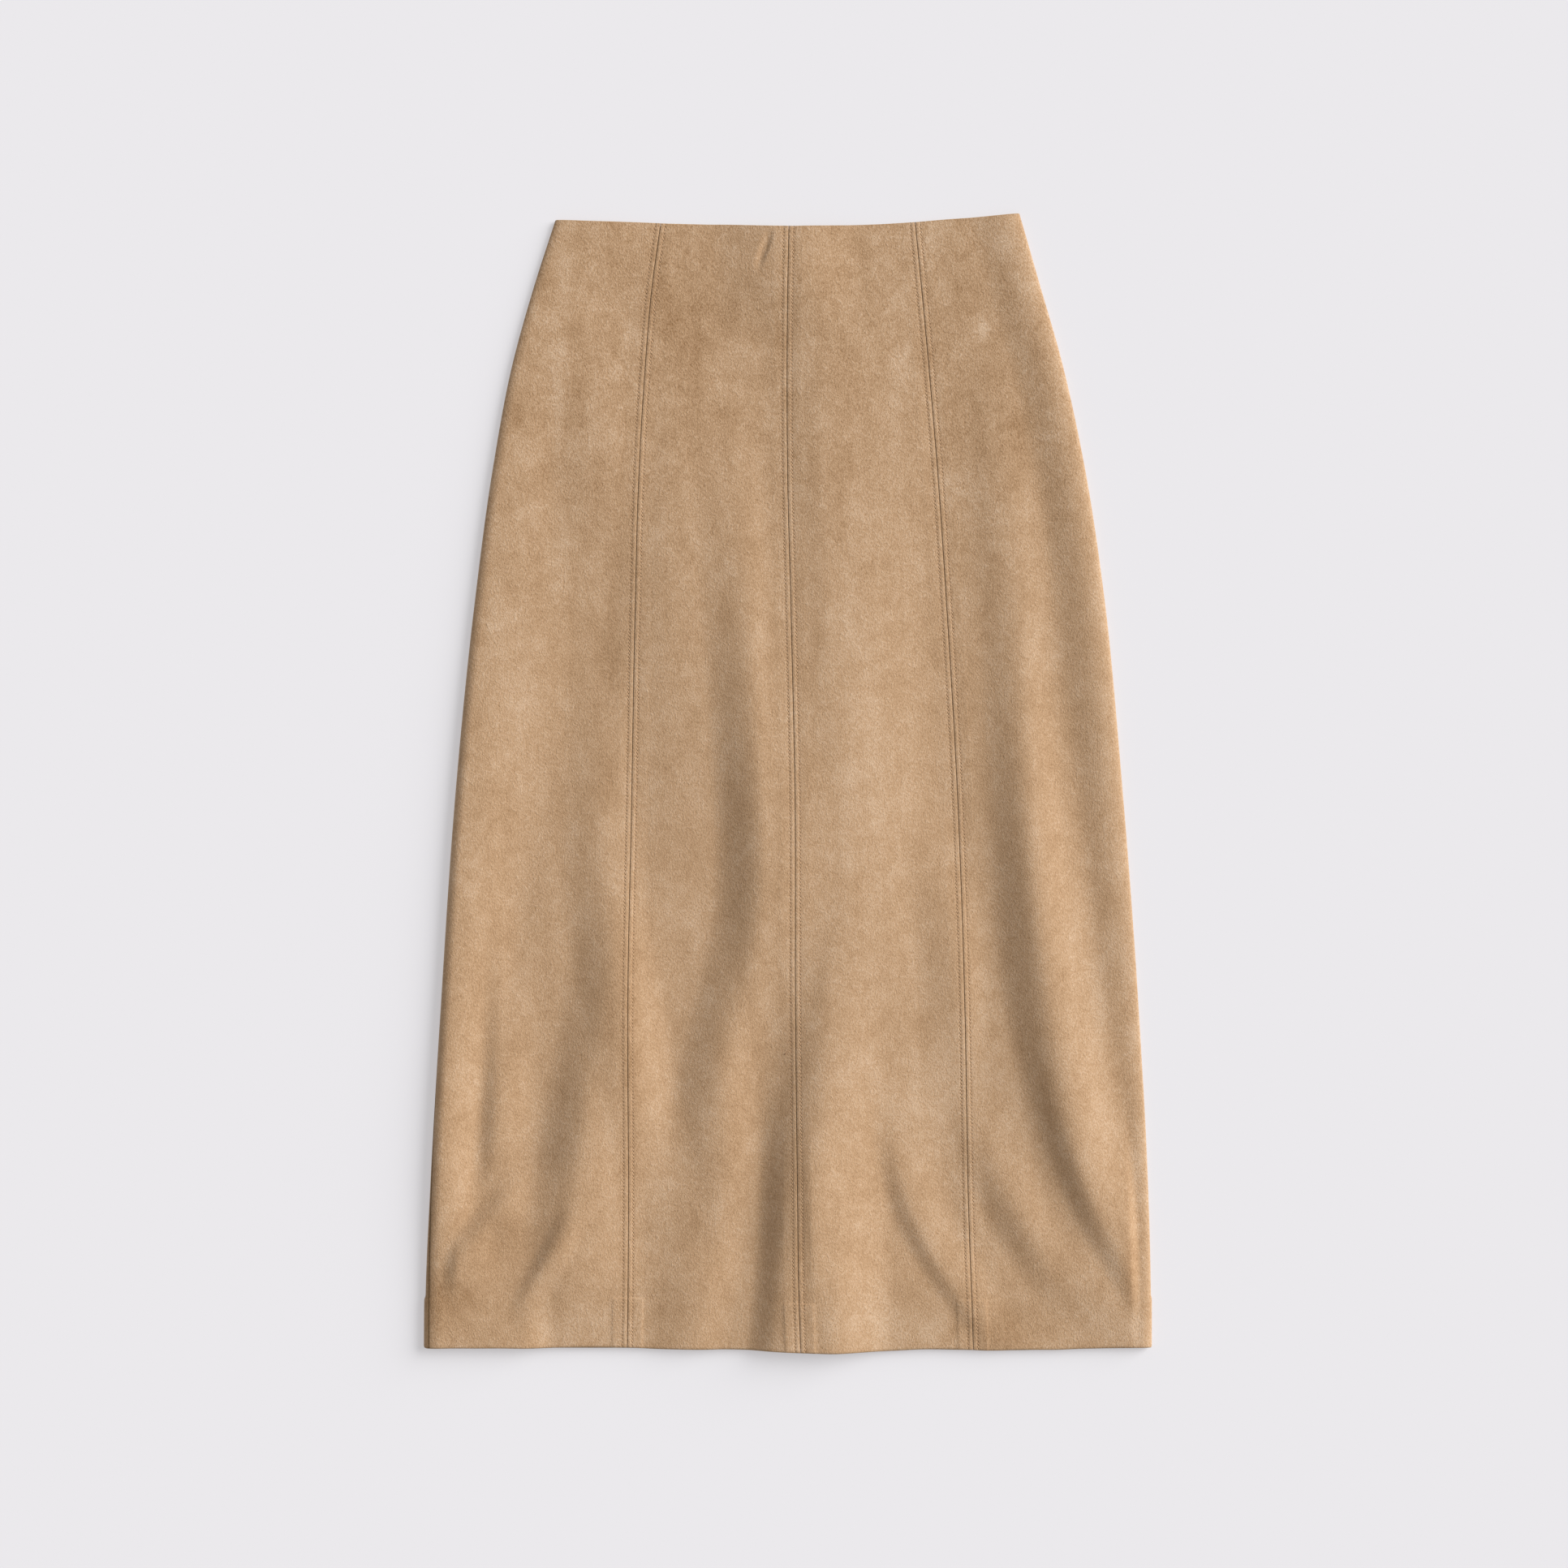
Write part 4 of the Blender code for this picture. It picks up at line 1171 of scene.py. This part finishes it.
class SKIRT_OT_zip(bpy.types.Operator):
    """Build the concealed zip's tapes and coil, and enamel its slider and tab"""
    bl_idname = "skirt.zip"
    bl_label = "Concealed zip"

    def execute(self, context):
        scene = context.scene
        make_tape("zip_tape_right", -1, scene)
        make_tape("zip_tape_left", 1, scene)
        make_coil(scene)
        for node in ("zip_slider", "zip_pull"):
            for material_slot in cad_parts[node].material_slots:
                material_slot.material = shared_material(enamelled_zinc, scene)
        return {"FINISHED"}


FLOOR_HALF = 40000  # half the floor's side: it runs out to a level horizon
FLOOR_DOWN = 0.05  # keeps the floor's face and the cloth's underside apart
OUTLINE_HEIGHT = 6  # the frame's width is measured at this height
EYE_OVER = (-3.1, -1.1)  # the camera looks straight down at this place
EYE_REACH = 50  # how far it sees, in metres


class SKIRT_OT_stage(bpy.types.Operator):
    """Build the floor, the lights and the camera over the skirt"""
    bl_idname = "skirt.stage"
    bl_label = "Studio"

    def execute(self, context):
        scene = context.scene
        stage = scene.skirt_stage
        corners = FLOOR_HALF * np.array([(-1, -1, 0), (1, -1, 0), (1, 1, 0), (-1, 1, 0)])
        corners = corners - (0, 0, FLOOR_DOWN)
        mesh = quad_mesh("studio_floor", corners, np.array([[0, 1, 2, 3]]))
        lit = [part * (1 - stage.floor_glow) for part in stage.floor_colour]
        mesh.materials.append(new_material(
            "matt_studio_board", Base_Color=(*lit, 1), Roughness=1,
            Specular_IOR_Level=0, Emission_Color=(*stage.floor_colour, 1),
            Emission_Strength=stage.floor_glow)[0])
        add_object("studio_floor", mesh, scene)

        key = bpy.data.lights.new("key_softbox", "SUN")
        key.angle = stage.key_spread
        key.energy = stage.key_share * math.pi / math.sin(stage.key_elevation)
        lamp = add_object("key_softbox", key, scene)
        lamp.rotation_euler = (0, math.pi / 2 - stage.key_elevation, stage.key_azimuth)

        world = bpy.data.worlds.new("studio_fill")
        world.use_nodes = True
        tree = world.node_tree
        tree.nodes.clear()
        fill = 1 - stage.key_share
        background = add_node(tree, "Background", {"Color": (fill, fill, fill, 1)})
        add_node(tree, "OutputWorld", {"Surface": background})
        scene.world = world

        camera = bpy.data.cameras.new("overhead_camera")
        camera.lens = stage.lens
        camera.clip_end = EYE_REACH
        eye = add_object("overhead_camera", camera, scene)
        distance = stage.frame_width * stage.lens / camera.sensor_width
        x, y = EYE_OVER
        eye.location = (x * MM, y * MM, OUTLINE_HEIGHT * MM + distance)
        scene.camera = eye
        scene.view_settings.view_transform = "Standard"
        return {"FINISHED"}


class SKIRT_PT_panel(bpy.types.Panel):
    """The skirt's operators, in the order in which they run"""
    bl_label = "Pencil skirt"
    bl_space_type = "VIEW_3D"
    bl_region_type = "UI"
    bl_category = "Skirt"

    def draw(self, context):
        for operator in OPERATORS:
            self.layout.operator(operator.bl_idname)


OPERATORS = (
    SKIRT_OT_topstitching, SKIRT_OT_front, SKIRT_OT_back, SKIRT_OT_zip, SKIRT_OT_stage,
)
SETTINGS = {
    "skirt_cloth": SkirtCloth,
    "skirt_suede": SkirtSuede,
    "skirt_stitches": SkirtStitches,
    "skirt_zip": SkirtZip,
    "skirt_stage": SkirtStage,
}


def register():
    for kind in (*SETTINGS.values(), *OPERATORS, SKIRT_PT_panel):
        bpy.utils.register_class(kind)
    for name, group in SETTINGS.items():
        setattr(bpy.types.Scene, name, PointerProperty(type=group))


def unregister():
    for name in SETTINGS:
        delattr(bpy.types.Scene, name)
    for kind in (SKIRT_PT_panel, *OPERATORS, *SETTINGS.values()):
        bpy.utils.unregister_class(kind)


def main():
    """Run the operators in order."""
    register()
    bpy.ops.skirt.topstitching()
    bpy.ops.skirt.front()
    bpy.ops.skirt.back()
    bpy.ops.skirt.zip()
    bpy.ops.skirt.stage()


if __name__ == "__main__":
    main()
